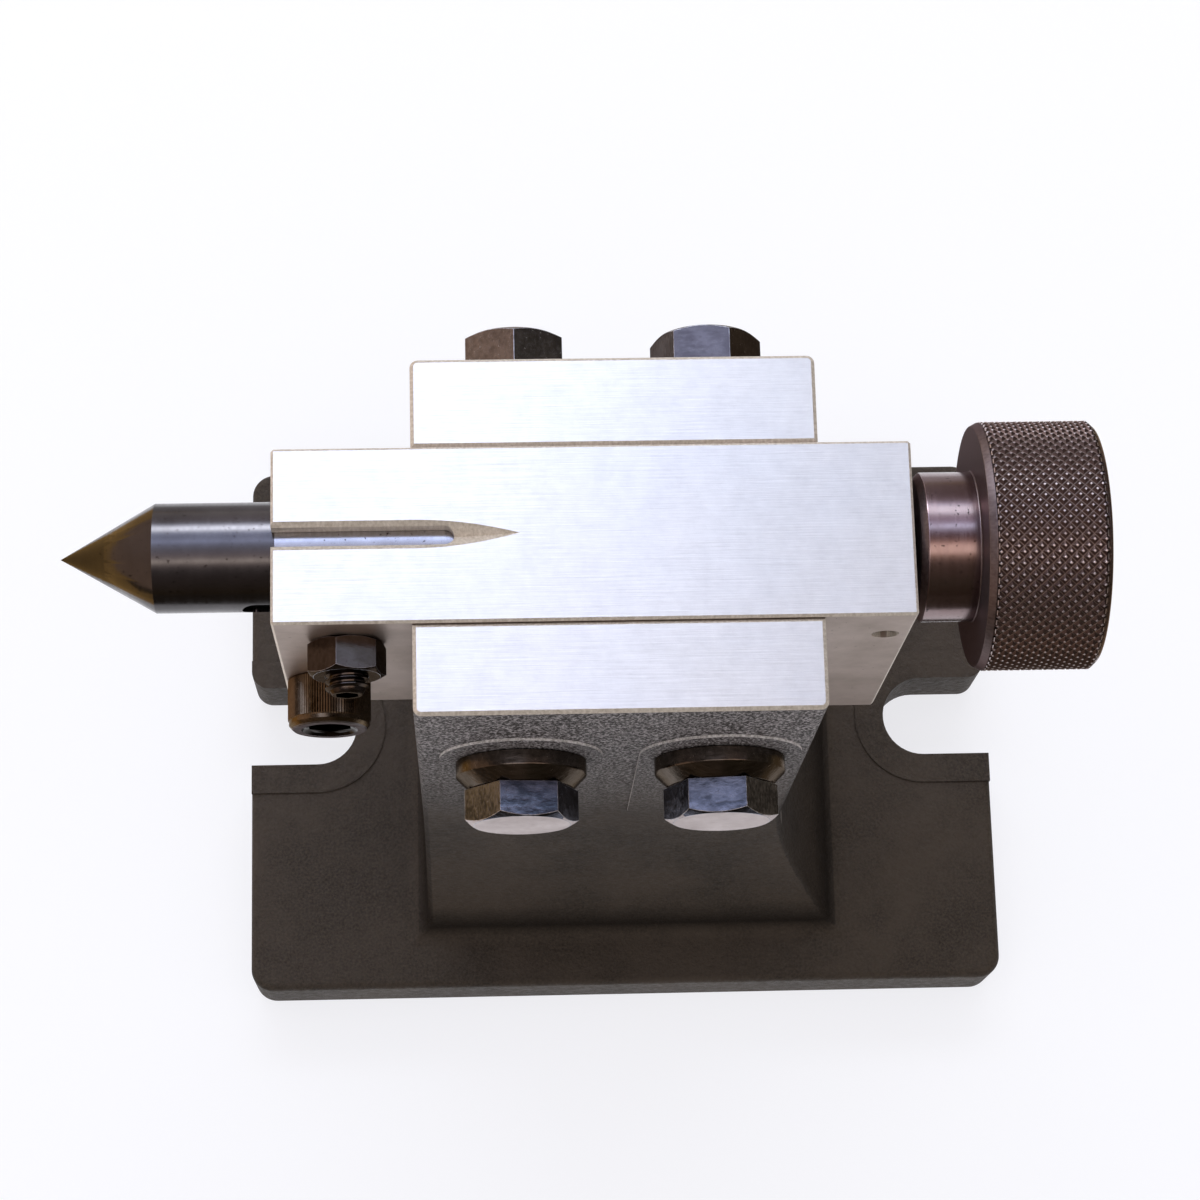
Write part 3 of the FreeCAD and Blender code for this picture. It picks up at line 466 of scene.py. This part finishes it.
def turned(shape, outline, steps=ROUND_STEPS):
    """Turn an outline of (height, radius) pairs about the Z axis."""
    points = [shape.verts.new((radius, 0, height)) for height, radius in outline]
    edges = [shape.edges.new(pair) for pair in zip(points, points[1:])]
    bmesh.ops.spin(shape, geom=points + edges, cent=(0, 0, 0), axis=(0, 0, 1),
                   angle=2 * math.pi, steps=steps, use_merge=True)
    bmesh.ops.remove_doubles(shape, verts=shape.verts, dist=0.001)


def hexagon_socket(shape, flats, height, depth):
    """Close the open rim of a turned head with a flat ring and a hexagon socket."""
    rim = [edge for edge in shape.edges if edge.is_boundary]
    key = bmesh.ops.create_circle(shape, segments=6, radius=flats / math.sqrt(3),
                                  matrix=Matrix.Translation((0, 0, height)))
    mouth = list({edge for vertex in key["verts"] for edge in vertex.link_edges})
    bmesh.ops.bridge_loops(shape, edges=rim + mouth)
    walls = bmesh.ops.extrude_edge_only(shape, edges=mouth)["geom"]
    bottom = [item for item in walls if isinstance(item, bmesh.types.BMVert)]
    bmesh.ops.translate(shape, verts=bottom, vec=(0, 0, -depth))
    floor = [item for item in walls if isinstance(item, bmesh.types.BMEdge)
             and all(vertex in bottom for vertex in item.verts)]
    bmesh.ops.contextual_create(shape, geom=floor)


def thread_ridge(shape, core, crest, pitch, low, high):
    """Right-hand thread ridge wound on a core, with closed ends."""
    section = [shape.verts.new(corner) for corner in
               ((core - 0.1, 0, low - pitch * 0.44), (crest, 0, low - pitch * 0.06),
                (crest, 0, low + pitch * 0.06), (core - 0.1, 0, low + pitch * 0.44))]
    edges = [shape.edges.new(pair) for pair in zip(section, section[1:] + section[:1])]
    turns = (high - low) / pitch
    made = bmesh.ops.spin(shape, geom=section + edges, cent=(0, 0, 0), axis=(0, 0, 1),
                          dvec=(0, 0, pitch / THREAD_STEPS), angle=2 * math.pi * turns,
                          steps=round(turns * THREAD_STEPS))
    last = [item for item in made["geom_last"] if isinstance(item, bmesh.types.BMEdge)]
    for ends in (edges, last):
        bmesh.ops.contextual_create(shape, geom=ends)


def cad_copy(node, body, finishes, break_edge, choose=None, edge=None, rim=None, cut=None):
    """Copy of a CAD node with joined faces and its sharp edges broken, as real pieces have.

    choose gives the finish of a face, from its middle and normal in millimetres. edge is the finish
    of the broken edges, rim one that they take where choose gives it, and cut a place on X where
    long faces are parted.
    """
    shape = bmesh.new()
    shape.from_mesh(frame["nodes"][node].data)
    shape.transform(Matrix.Scale(1 / MM, 4))
    bmesh.ops.remove_doubles(shape, verts=shape.verts, dist=0.002)
    bmesh.ops.dissolve_limit(shape, angle_limit=math.radians(0.4), verts=shape.verts, edges=shape.edges)
    if cut is not None:
        everything = list(shape.verts) + list(shape.edges) + list(shape.faces)
        bmesh.ops.bisect_plane(shape, geom=everything, plane_co=(cut, 0, 0), plane_no=(1, 0, 0))
    for face in shape.faces if choose else ():
        face.material_index = finishes.index(choose(face.calc_center_median(), face.normal))
    corners = [corner for corner in shape.edges
               if len(corner.link_faces) == 2 and corner.calc_face_angle(0) > math.radians(SHARP_EDGE)]
    bmesh.ops.bevel(shape, geom=corners, offset=break_edge, offset_type="OFFSET", segments=2, profile=0.5,
                    affect="EDGES", clamp_overlap=True, material=finishes.index(edge) if edge else -1)
    for face in shape.faces if rim else ():
        if choose(face.calc_center_median(), face.normal) == rim:
            face.material_index = finishes.index(rim)
    shaded_evenly(finished(node + "_finished", shape, body, [node], finishes, smooth=50))


# Pieces of the tailstock.

def casting(cast, shaded_flanks, painted_highlight, milled, ground, edge):
    """Base casting: sand-cast all over, ground on the cheek tops, milled on the cheek ends, with painted
    shade on the faces turned to the sides and painted highlights on the low step rims.
    """
    nose_washer, pivot_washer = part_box("nose_washer_rear"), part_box("pivot_washer_rear")
    pad_face = nose_washer[0].y / MM
    pads = (nose_washer[0].x / MM - PAD_PAST_WASHER, pivot_washer[1].x / MM + PAD_PAST_WASHER)

    def finish_of(middle, normal):
        if middle.z > CASTING_TOP - 0.05 and normal.z > 0.9:
            return ground
        if middle.z > CASTING_TOP - 1.2:
            return edge
        on_pad_rim = (pad_face - PAD_RISE - 0.04 < abs(middle.y) < pad_face - 2 * RIM_SKIN
                      and pads[0] < middle.x < pads[1] and abs(normal.y) < 0.99)
        on_seat_rim = (BASE_TOP + RIM_SKIN < middle.z < BASE_TOP + SEAT_RISE - RIM_SKIN
                       and abs(normal.z) < 0.3)
        # Painted highlight on the pad rims, and painted light on the seat step walls that lifts their
        # shade.
        if on_pad_rim or on_seat_rim:
            return painted_highlight
        if abs(normal.x) > 0.98 and middle.z > 60 and abs(middle.y) > 16:
            return milled
        # Painted shade: faces turned to the sides take a copy of the casting finish darkened to 0.6.
        return shaded_flanks if abs(normal.x) > 0.3 and middle.z > BASE_TOP + 1 else cast

    cad_copy("base_casting", "base", [cast, milled, ground, edge, painted_highlight, shaded_flanks], 0.3,
             finish_of, rim=painted_highlight)


def housing(side, ground, edge, bore_shade):
    """Quill housing: ground top, greyed sides, brown broken edges and the quill's hole near black as
    painted shade.
    """

    def finish_of(middle, normal):
        if middle.z > HOUSING_HIGH.z - 0.05 and normal.z > 0.9:
            return ground
        if max(abs(normal.x), abs(normal.y), abs(normal.z)) > 0.98:
            inside = abs(middle.y) < 15 and abs(normal.y) > 0.9
            return edge if inside else side
        from_axis = math.hypot(middle.y, middle.z - AXIS_HEIGHT)
        # The quill's hole takes a near-black finish as painted shade.
        return bore_shade if from_axis < QUILL_RADIUS + 0.3 else edge

    cad_copy("quill_housing", "block", [side, ground, edge, bore_shade], 0.15, finish_of)


def knurled_band(shape, radius, low, high):
    """Diamond knurl round a rim: a turned grid of blunt points, trimmed, wrapped and closed."""
    round_pitch = 2 * math.pi * radius / KNURL_AROUND
    length = 2 * math.pi * radius
    cell = round_pitch / math.sqrt(2)
    count = 2 * math.ceil((length + high - low) / math.sqrt(2) / cell / 2) + 2
    bmesh.ops.create_grid(shape, x_segments=count, y_segments=count, size=count * cell / 2)
    bmesh.ops.rotate(shape, verts=shape.verts, cent=(0, 0, 0), matrix=Matrix.Rotation(math.pi / 4, 3, "Z"))
    bmesh.ops.scale(shape, vec=(1, KNURL_AXIAL_PITCH / round_pitch, 1), verts=shape.verts)
    bmesh.ops.translate(shape, vec=(0, (low + high) / 2, 0), verts=shape.verts)
    for point, normal in (((-length / 2, 0, 0), (-1, 0, 0)), ((length / 2, 0, 0), (1, 0, 0)),
                          ((0, low, 0), (0, -1, 0)), ((0, high, 0), (0, 1, 0))):
        everything = list(shape.verts) + list(shape.edges) + list(shape.faces)
        bmesh.ops.bisect_plane(shape, geom=everything, plane_co=point, plane_no=normal, clear_outer=True)
    groove = radius - KNURL_DEPTH
    for vertex in shape.verts:
        turn = vertex.co.x / radius
        vertex.co = (groove * math.cos(turn), groove * math.sin(turn), vertex.co.y)
    bmesh.ops.remove_doubles(shape, verts=shape.verts, dist=0.01)
    seam = [edge for edge in shape.edges if not edge.is_boundary
            and all(abs(vertex.co.y) < 0.01 and vertex.co.x < 0 for vertex in edge.verts)]
    bmesh.ops.dissolve_edges(shape, edges=seam, use_verts=True)
    bmesh.ops.recalc_face_normals(shape, faces=shape.faces)
    # Vertex mark for the painted highlights: 1 on full points, 0.6 on faded points, 0.5 near the ends, 0
    # in the grooves.
    painted_highlight = shape.verts.layers.float.new("painted_highlight")
    whole = round_pitch * KNURL_AXIAL_PITCH / 2
    diamonds = [face for face in shape.faces if face.calc_area() > whole * 0.2]
    bmesh.ops.inset_individual(shape, faces=diamonds, thickness=KNURL_FLANK, depth=KNURL_DEPTH,
                               use_even_offset=True)
    points = {vertex for face in diamonds for vertex in face.verts}
    for vertex in shape.verts:
        rise = min((vertex.co.z - low) / KNURL_FADE, (high - vertex.co.z) / KNURL_FADE, 1.0)
        proud = vertex.co.xy.length - groove
        vertex.co.xy *= (groove + proud * max(rise, 0.15)) / vertex.co.xy.length
        if rise < 0.5:
            vertex[painted_highlight] = 0.5
        elif vertex in points:
            vertex[painted_highlight] = 1.0 if rise == 1.0 else 0.6
    rims = [edge for edge in shape.edges if edge.is_boundary]
    walls = bmesh.ops.extrude_edge_only(shape, edges=rims)["geom"]
    inner = {item for item in walls if isinstance(item, bmesh.types.BMVert)}
    for vertex in inner:
        vertex.co.xy *= (groove - 1.0) / vertex.co.xy.length
    lining = [item for item in walls if isinstance(item, bmesh.types.BMEdge)
              and all(vertex in inner for vertex in item.verts)]
    bmesh.ops.bridge_loops(shape, edges=lining)


def knob(turned_finish, shaded_face_finish, knurl_finish):
    """Feed knob: turned neck and rim, with the knurl as a band of its own."""
    place = Matrix.Translation((KNOB_LOW.x, 0, AXIS_HEIGHT)) @ TURNED_TO_KNOB
    width = KNOB_HIGH.x - KNOB_LOW.x
    groove = KNOB_RADIUS - KNURL_DEPTH
    quarter = [math.radians(angle) for angle in range(0, 91, 15)]
    outline = [(width - KNOB_DISH, KNOB_BORE), (0, KNOB_BORE), (0, NECK_RADIUS - NECK_BEVEL - 0.1),
               (0.1, NECK_RADIUS - NECK_BEVEL + 0.06), (NECK_BEVEL - 0.06, NECK_RADIUS - 0.1),
               (NECK_BEVEL + 0.2, NECK_RADIUS)]
    outline += [(NECK_LENGTH - NECK_FILLET * (1 - math.sin(angle)),
                 NECK_RADIUS + NECK_FILLET * (1 - math.cos(angle))) for angle in quarter]
    lead_end = NECK_LENGTH + RIM_LEAD
    outline += [(NECK_LENGTH, KNOB_RADIUS - RIM_RISE - 0.1),
                (NECK_LENGTH + 0.1, KNOB_RADIUS - RIM_RISE + 0.05),
                (lead_end - 0.15, KNOB_RADIUS - 0.12), (lead_end, KNOB_RADIUS - 0.15),
                (lead_end, groove + 0.02), (width - RIM_BEVEL, groove + 0.02)]
    outline += [(width - RIM_BEVEL * (1 - math.sin(angle)),
                 groove + 0.02 - RIM_BEVEL * (1 - math.cos(angle))) for angle in quarter[1:]]
    outline += [(width, KNOB_DISH_RADIUS + 0.4), (width - 0.4, KNOB_DISH_RADIUS),
                (width - KNOB_DISH, KNOB_DISH_RADIUS - 1), (width - KNOB_DISH, KNOB_BORE)]
    shape = bmesh.new()
    turned(shape, outline)
    for face in shape.faces:
        middle = face.calc_center_median()
        on_neck = NECK_BEVEL < middle.z < NECK_LENGTH - NECK_FILLET
        # Faces off the neck and the outer end, such as the neck's bevel next to the block, take the darker
        # finish as painted shade.
        face.material_index = 0 if on_neck or middle.z > width - RIM_BEVEL else 1
    shaded_evenly(finished("knob_turned", shape, "knob", ["knob"],
                           [turned_finish, shaded_face_finish], place))
    shape = bmesh.new()
    knurled_band(shape, KNOB_RADIUS, lead_end - 0.3, width - RIM_BEVEL + 0.2)
    finished("knob_knurl", shape, "knob", ["knob"], [knurl_finish], place, smooth=12)


def front_screw(node):
    """Place of a screw in the housing's front, and its two ends out of and into that face."""
    low, high = (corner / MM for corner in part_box(node))
    middle = Vector(((low.x + high.x) / 2, HOUSING_FRONT, (low.z + high.z) / 2))
    return Matrix.Translation(middle) @ TURNED_TO_FRONT, HOUSING_FRONT - low.y, HOUSING_FRONT - high.y


def guide_screw(finish):
    """Dog-point screw that guides the quill, with the thread that stands out of its lock nut."""
    place, out, dog = front_screw("quill_key_screw")
    shape = bmesh.new()
    turned(shape, [(dog, 0), (dog, DOG_RADIUS - 0.3), (dog + 0.3, DOG_RADIUS), (-5.8, DOG_RADIUS),
                   (-5.3, GUIDE_CORE), (out - 0.9, GUIDE_CORE), (out - 0.1, 2.85), (out, 2.7),
                   (out, DOG_RADIUS)], ROUND_STEPS // 2)
    hexagon_socket(shape, GUIDE_SOCKET, out, GUIDE_SOCKET)
    thread_ridge(shape, GUIDE_CORE, GUIDE_CREST, GUIDE_PITCH, 3.2, out - 0.75)
    finished("guide_screw", shape, "key_screw", ["quill_key_screw"], [finish], place)


def nose_clamp_screw(finish, socket_shade, ring_reflection):
    """Socket cap screw of the split nose: straight-knurled head, plain front band and deep socket."""
    place, head, end = front_screw("nose_clamp_screw")
    band = head - CAP_BAND
    shape = bmesh.new()
    turned(shape, [(end, 0), (end, 4.0), (end + 1.0, CAP_SHANK), (-0.5, CAP_SHANK), (0, CAP_SHANK),
                   (0, 7.6), (0.35, 7.95), (0.7, CAP_RADIUS), (band, CAP_RADIUS),
                   (band + 0.25, CAP_BAND_RADIUS), (head - 0.9, CAP_BAND_RADIUS), (head - 0.25, 7.2),
                   (head, 6.9), (head, 5.4), (head - 0.5, CAP_SHANK)], 2 * CAP_RIBS)
    for vertex in shape.verts:
        number = round(math.atan2(vertex.co.y, vertex.co.x) * CAP_RIBS / math.pi)
        if 0.2 < vertex.co.z < band + 0.1 and vertex.co.xy.length > 7.9 and number % 2:
            vertex.co.xy *= CAP_RIB_DEPTH
    hexagon_socket(shape, CAP_SOCKET, head - 0.75, CAP_SOCKET_DEPTH)
    for face in shape.faces:
        middle = face.calc_center_median()
        # The socket takes a near-black finish as painted shade.
        if middle.z > 1 and middle.xy.length < CAP_MOUTH:
            face.material_index = 1
        # The end ring of the head is paler grey, a painted reflection of the pale floor.
        elif middle.z > head - 0.6 and middle.xy.length < CAP_RING:
            face.material_index = 2
    finished("nose_clamp_screw_finished", shape, "clamp_screw", ["nose_clamp_screw"],
             [finish, socket_shade, ring_reflection], place, smooth=24)


def bolts_and_nuts(finish, nut_finishes, washer_finish, face, worn):
    """Two through bolts with their washers and nuts, all with broken edges."""
    for place, bolt_body, nut_body in (("nose", "block", "nose_nut"), ("pivot", "carriage", "pivot_nut")):
        head_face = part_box(place + "_bolt")[0].y / MM

        def finish_of(middle, normal):
            on_face = normal.y < -0.99 and middle.y < head_face + 0.1
            on_bevel = normal.y < -0.3 and normal.z < 0.3 and middle.y < head_face + 2
            return face if on_face or on_bevel else finish

        cad_copy(place + "_bolt", bolt_body, [finish, face, worn], SMALL_BREAK,
                 finish_of, edge=worn)
        cad_copy(place + "_nut", nut_body, [nut_finishes[place], worn], SMALL_BREAK,
                 edge=worn)
        for side in ("front", "rear"):
            cad_copy("%s_washer_%s" % (place, side), bolt_body, [washer_finish], 0.2)


def small_pieces(turned_finish, sliding_and_lit_finish, feed_screw_shade, fastener, worn, bronze):
    """Quill, blackened outside and polished where it slides, with painted light there that lifts the shade
    where it shows in the slot; the pieces inside it and the lock nut.
    """
    mouth = HOUSING_LOW.x + 0.5

    def finish_of(middle, normal):
        return sliding_and_lit_finish if middle.x > mouth else turned_finish

    cad_copy("quill", "quill", [turned_finish, sliding_and_lit_finish], SMALL_BREAK,
             finish_of, cut=mouth)
    # The feed screw, seen in the gap behind the block, is near black as painted shade.
    for node, body, slot, finish in (("feed_screw", "knob", "blackened_steel", feed_screw_shade),
                                     ("feed_nut", "quill", "bronze", bronze),
                                     ("thrust_washer", "block", "bronze", bronze),
                                     ("retaining_screw", "block", "black_fastener", fastener),
                                     ("knob_screw", "knob", "black_fastener", fastener)):
        cad_copy(node, body, [finish], SMALL_BREAK)
    cad_copy("lock_nut", "lock_nut", [fastener, worn], SMALL_BREAK, edge=worn)


# Stage, camera and light.

def show_in_polish_only(piece):
    """Stage piece that glossy surfaces reflect and nothing else sees."""
    bpy.context.scene.collection.objects.link(piece)
    piece.visible_camera = False
    piece.visible_diffuse = False
    piece.visible_shadow = False
    piece.visible_transmission = False


def card(name, size, place, colour, turn=Matrix(), strength=1.0, glossy_only=True):
    """Plane that glows a little; a glossy-only card shows in polished metal and nowhere else."""
    shape = bmesh.new()
    bmesh.ops.create_grid(shape, x_segments=1, y_segments=1, size=0.5)
    bmesh.ops.scale(shape, vec=(*size, 1), verts=shape.verts)
    shape.transform(Matrix.Translation(place) @ turn)
    finish = Finish(name).set(Base_Color=(0, 0, 0, 1) if glossy_only else (*colour, 1), Roughness=0.9,
                              Emission_Color=(*colour, 1), Emission_Strength=strength)
    piece = object_of(name, shape, [finish.material])
    if glossy_only:
        show_in_polish_only(piece)
    else:
        bpy.context.scene.collection.objects.link(piece)


def softbox(name, place, aim, size, power, colour):
    """Soft rectangular lamp that no surface mirrors."""
    lamp = bpy.data.lights.new(name, "AREA")
    lamp.shape = "RECTANGLE"
    lamp.size, lamp.size_y = size
    lamp.energy = power
    lamp.color = colour
    piece = bpy.data.objects.new(name, lamp)
    bpy.context.scene.collection.objects.link(piece)
    piece.location = place
    piece.rotation_euler = (Vector(aim) - Vector(place)).to_track_quat("-Z", "Y").to_euler()
    piece.visible_camera = False
    piece.visible_glossy = False


def upright(turn_degrees):
    """Turn of a card that stands on edge and faces the object."""
    return Matrix.Rotation(math.radians(turn_degrees), 4, "Z") @ Matrix.Rotation(math.radians(90), 4, "X")


def room_arch():
    """Tunnel of room light over the object, which only polished surfaces see.

    Its colours follow the angle from overhead, and change from the nose side to the knob side.
    """
    finish = Finish("room_arch").set(Base_Color=(0, 0, 0, 1), Roughness=0.9,
                                     Emission_Strength=ROOM_BRIGHTEST)
    along, behind, over = finish.axes()
    angle = finish.combined("ARCTAN2", behind, over)
    span = math.radians(ARCH_SPAN)
    place = finish.spread(angle, -span, span)
    sides = [finish.bands(place, [((degrees + ARCH_SPAN) / 2 / ARCH_SPAN,
                                   tuple(channel / ROOM_BRIGHTEST for channel in colour))
                                  for degrees, colour in room]) for room in (ROOM_AT_NOSE, ROOM_AT_KNOB)]
    finish.join(finish.blend(finish.spread(along, *ROOM_CHANGE), *sides), "Emission Color")
    shape = bmesh.new()
    bmesh.ops.create_grid(shape, x_segments=1, y_segments=ARCH_STEPS, size=1)
    for vertex in shape.verts:
        turn = span * vertex.co.y
        vertex.co = (ARCH_HALF_LENGTH * vertex.co.x, ARCH_RADIUS * math.sin(turn),
                     ARCH_RADIUS * math.cos(turn))
    piece = object_of("room_arch", shape, [finish.material])
    piece.location.z = AXIS_HEIGHT * MM
    show_in_polish_only(piece)


def stage():
    """Pale floor, soft lamps and the room that polished steel reflects."""
    card("floor", (6, 6), (0, 0, -0.0004), (0.27, 0.27, 0.28), strength=2.70, glossy_only=False)
    room_arch()
    card("table_in_front_of_the_paper", (3.0, 1.2), (0, -0.83, 0.0009), (0.05, 0.035, 0.02))
    card("table_behind_the_paper", (3.0, 1.0), (0, 0.75, 0.0004), (0.50, 0.46, 0.47))
    card("wooden_table_at_the_nose", (1.2, 3.0), (-0.80, 0, 0.0006), (0.66, 0.38, 0.11))
    card("table_at_the_knob", (1.2, 3.0), (0.75, 0, 0.0006), (0.26, 0.19, 0.11))
    card("warm_wall_at_the_nose", (1.6, 0.6), (-0.7, 0, 0.30), (0.52, 0.34, 0.24), upright(90))
    card("dark_wall_at_the_nose", (1.6, 0.8), (-0.7, 0, 1.00), (0.14, 0.10, 0.09), upright(90))
    card("dark_card_at_the_knob", (1.6, 0.9), (0.7, 0, 0.45), (0.06, 0.05, 0.035), upright(90))
    middle = (0, 0, 0.16)
    softbox("window_behind", (0.0, 1.02, 1.26), middle, (1.3, 0.42), 6.6, (0.88, 0.93, 1.0))
    softbox("ceiling_light", (-0.42, 0.33, 1.75), middle, (1.0, 0.12), 1.4, (0.97, 0.98, 1.0))
    softbox("room_light", (-0.1, -0.62, 1.9), middle, (0.5, 0.16), 0.7, (1.0, 0.84, 0.72))


def world():
    """Even white surroundings, a little weaker where they light the object."""
    scene_world = bpy.data.worlds.new("studio")
    bpy.context.scene.world = scene_world
    scene_world.use_nodes = True
    nodes = scene_world.node_tree.nodes
    links = scene_world.node_tree.links
    background = nodes["Background"]
    background.inputs["Color"].default_value = (0.985, 0.985, 1.0, 1)
    rays = nodes.new("ShaderNodeLightPath")
    unweakened = rays.outputs["Is Camera Ray"]
    for kind in ("Is Transmission Ray", "Is Glossy Ray"):
        either = nodes.new("ShaderNodeMath")
        either.operation = "MAXIMUM"
        links.new(unweakened, either.inputs[0])
        links.new(rays.outputs[kind], either.inputs[1])
        unweakened = either.outputs["Value"]
    strength = nodes.new("ShaderNodeMapRange")
    strength.inputs["To Min"].default_value = WORLD_ON_OBJECT
    strength.inputs["To Max"].default_value = WORLD_IN_PICTURE
    links.new(unweakened, strength.inputs["Value"])
    links.new(strength.outputs["Result"], background.inputs["Strength"])


def camera():
    """Camera high over the front edge, looking down on the tops."""
    lens = bpy.data.cameras.new("camera")
    lens.sensor_width = SENSOR_WIDTH
    lens.lens = CAMERA_LENS
    view = bpy.data.objects.new("camera", lens)
    bpy.context.scene.collection.objects.link(view)
    view.location = CAMERA_PLACE
    view.rotation_euler = [math.radians(angle) for angle in CAMERA_TURN]
    bpy.context.scene.camera = view


def tailstock():
    """Every piece of the tailstock with its finish."""
    ground = ground_top()
    edge = bare_edge()
    worn = worn_edge()
    quill_black = blackened_turned("blackened_turned", (0.075, 0.071, 0.073), (0.107, 0.102, 0.106), 1800)
    # Bright where the quill is worn by sliding, and lighter still as painted light that lifts the shade in
    # the housing's slot.
    quill_worn_and_lit = blackened_turned("sliding_steel_painted_light", (0.33, 0.335, 0.36), (0.46, 0.47, 0.51), 1800)
    knob_black = blackened_turned("blackened_neck", (0.26, 0.190, 0.191), (0.32, 0.25, 0.26), 1500)
    # Near-black steel used as painted shade: the housing's quill hole, the cap screw's socket and the feed
    # screw in the gap behind the block.
    shade_black = blackened_turned("painted_shade_black", (0.022, 0.018, 0.015), (0.035, 0.030, 0.026), 900)
    bolt_steel = black_fastener("blued_bolt", (0.060, 0.067, 0.085), (0.175, 0.190, 0.240))
    fastener = black_fastener("black_screw", (0.050, 0.040, 0.033), (0.080, 0.068, 0.062))
    washer_steel = black_fastener("black_washer", (0.092, 0.079, 0.067), (0.150, 0.132, 0.117))
    # Paler grey on the cap screw's end ring, a painted reflection of the pale floor.
    cap_ring_reflection = dark_face("cap_screw_ring_painted_reflection", (0.13, 0.12, 0.12), (0.30, 0.285, 0.285))
    cap_steel = black_fastener("brown_cap_screw", (0.120, 0.088, 0.055), (0.170, 0.130, 0.088))
    nuts = {"nose": black_fastener("grey_nut", (0.19, 0.175, 0.17), (0.30, 0.28, 0.27)),
            "pivot": black_fastener("black_nut", (0.070, 0.064, 0.068), (0.110, 0.102, 0.108))}
    # The second casting finish, at 0.6, is painted shade for the faces turned to the sides.
    casting(sand_cast_iron("sand_cast_iron", 1.0), sand_cast_iron("sand_cast_flanks_painted_shade", 0.6),
            rim_highlight_casting(), milled_iron(), ground, edge)
    housing(ground_side(), ground, edge, shade_black)
    # Darker blackened face, painted shade on the knob's bevel and inner faces.
    shaded_rim_black = dark_face("blackened_rim_painted_shade", (0.150, 0.122, 0.121), (0.235, 0.190, 0.187))
    knob(knob_black, shaded_rim_black, knurl_with_painted_highlights())
    guide_screw(fastener)
    nose_clamp_screw(cap_steel, shade_black, cap_ring_reflection)
    bolts_and_nuts(bolt_steel, nuts, washer_steel, bolt_face(), worn)
    small_pieces(quill_black, quill_worn_and_lit, shade_black, fastener, worn, bearing_bronze())


camera()
world()
stage()
tailstock()
bpy.context.scene.view_settings.view_transform = "Standard"
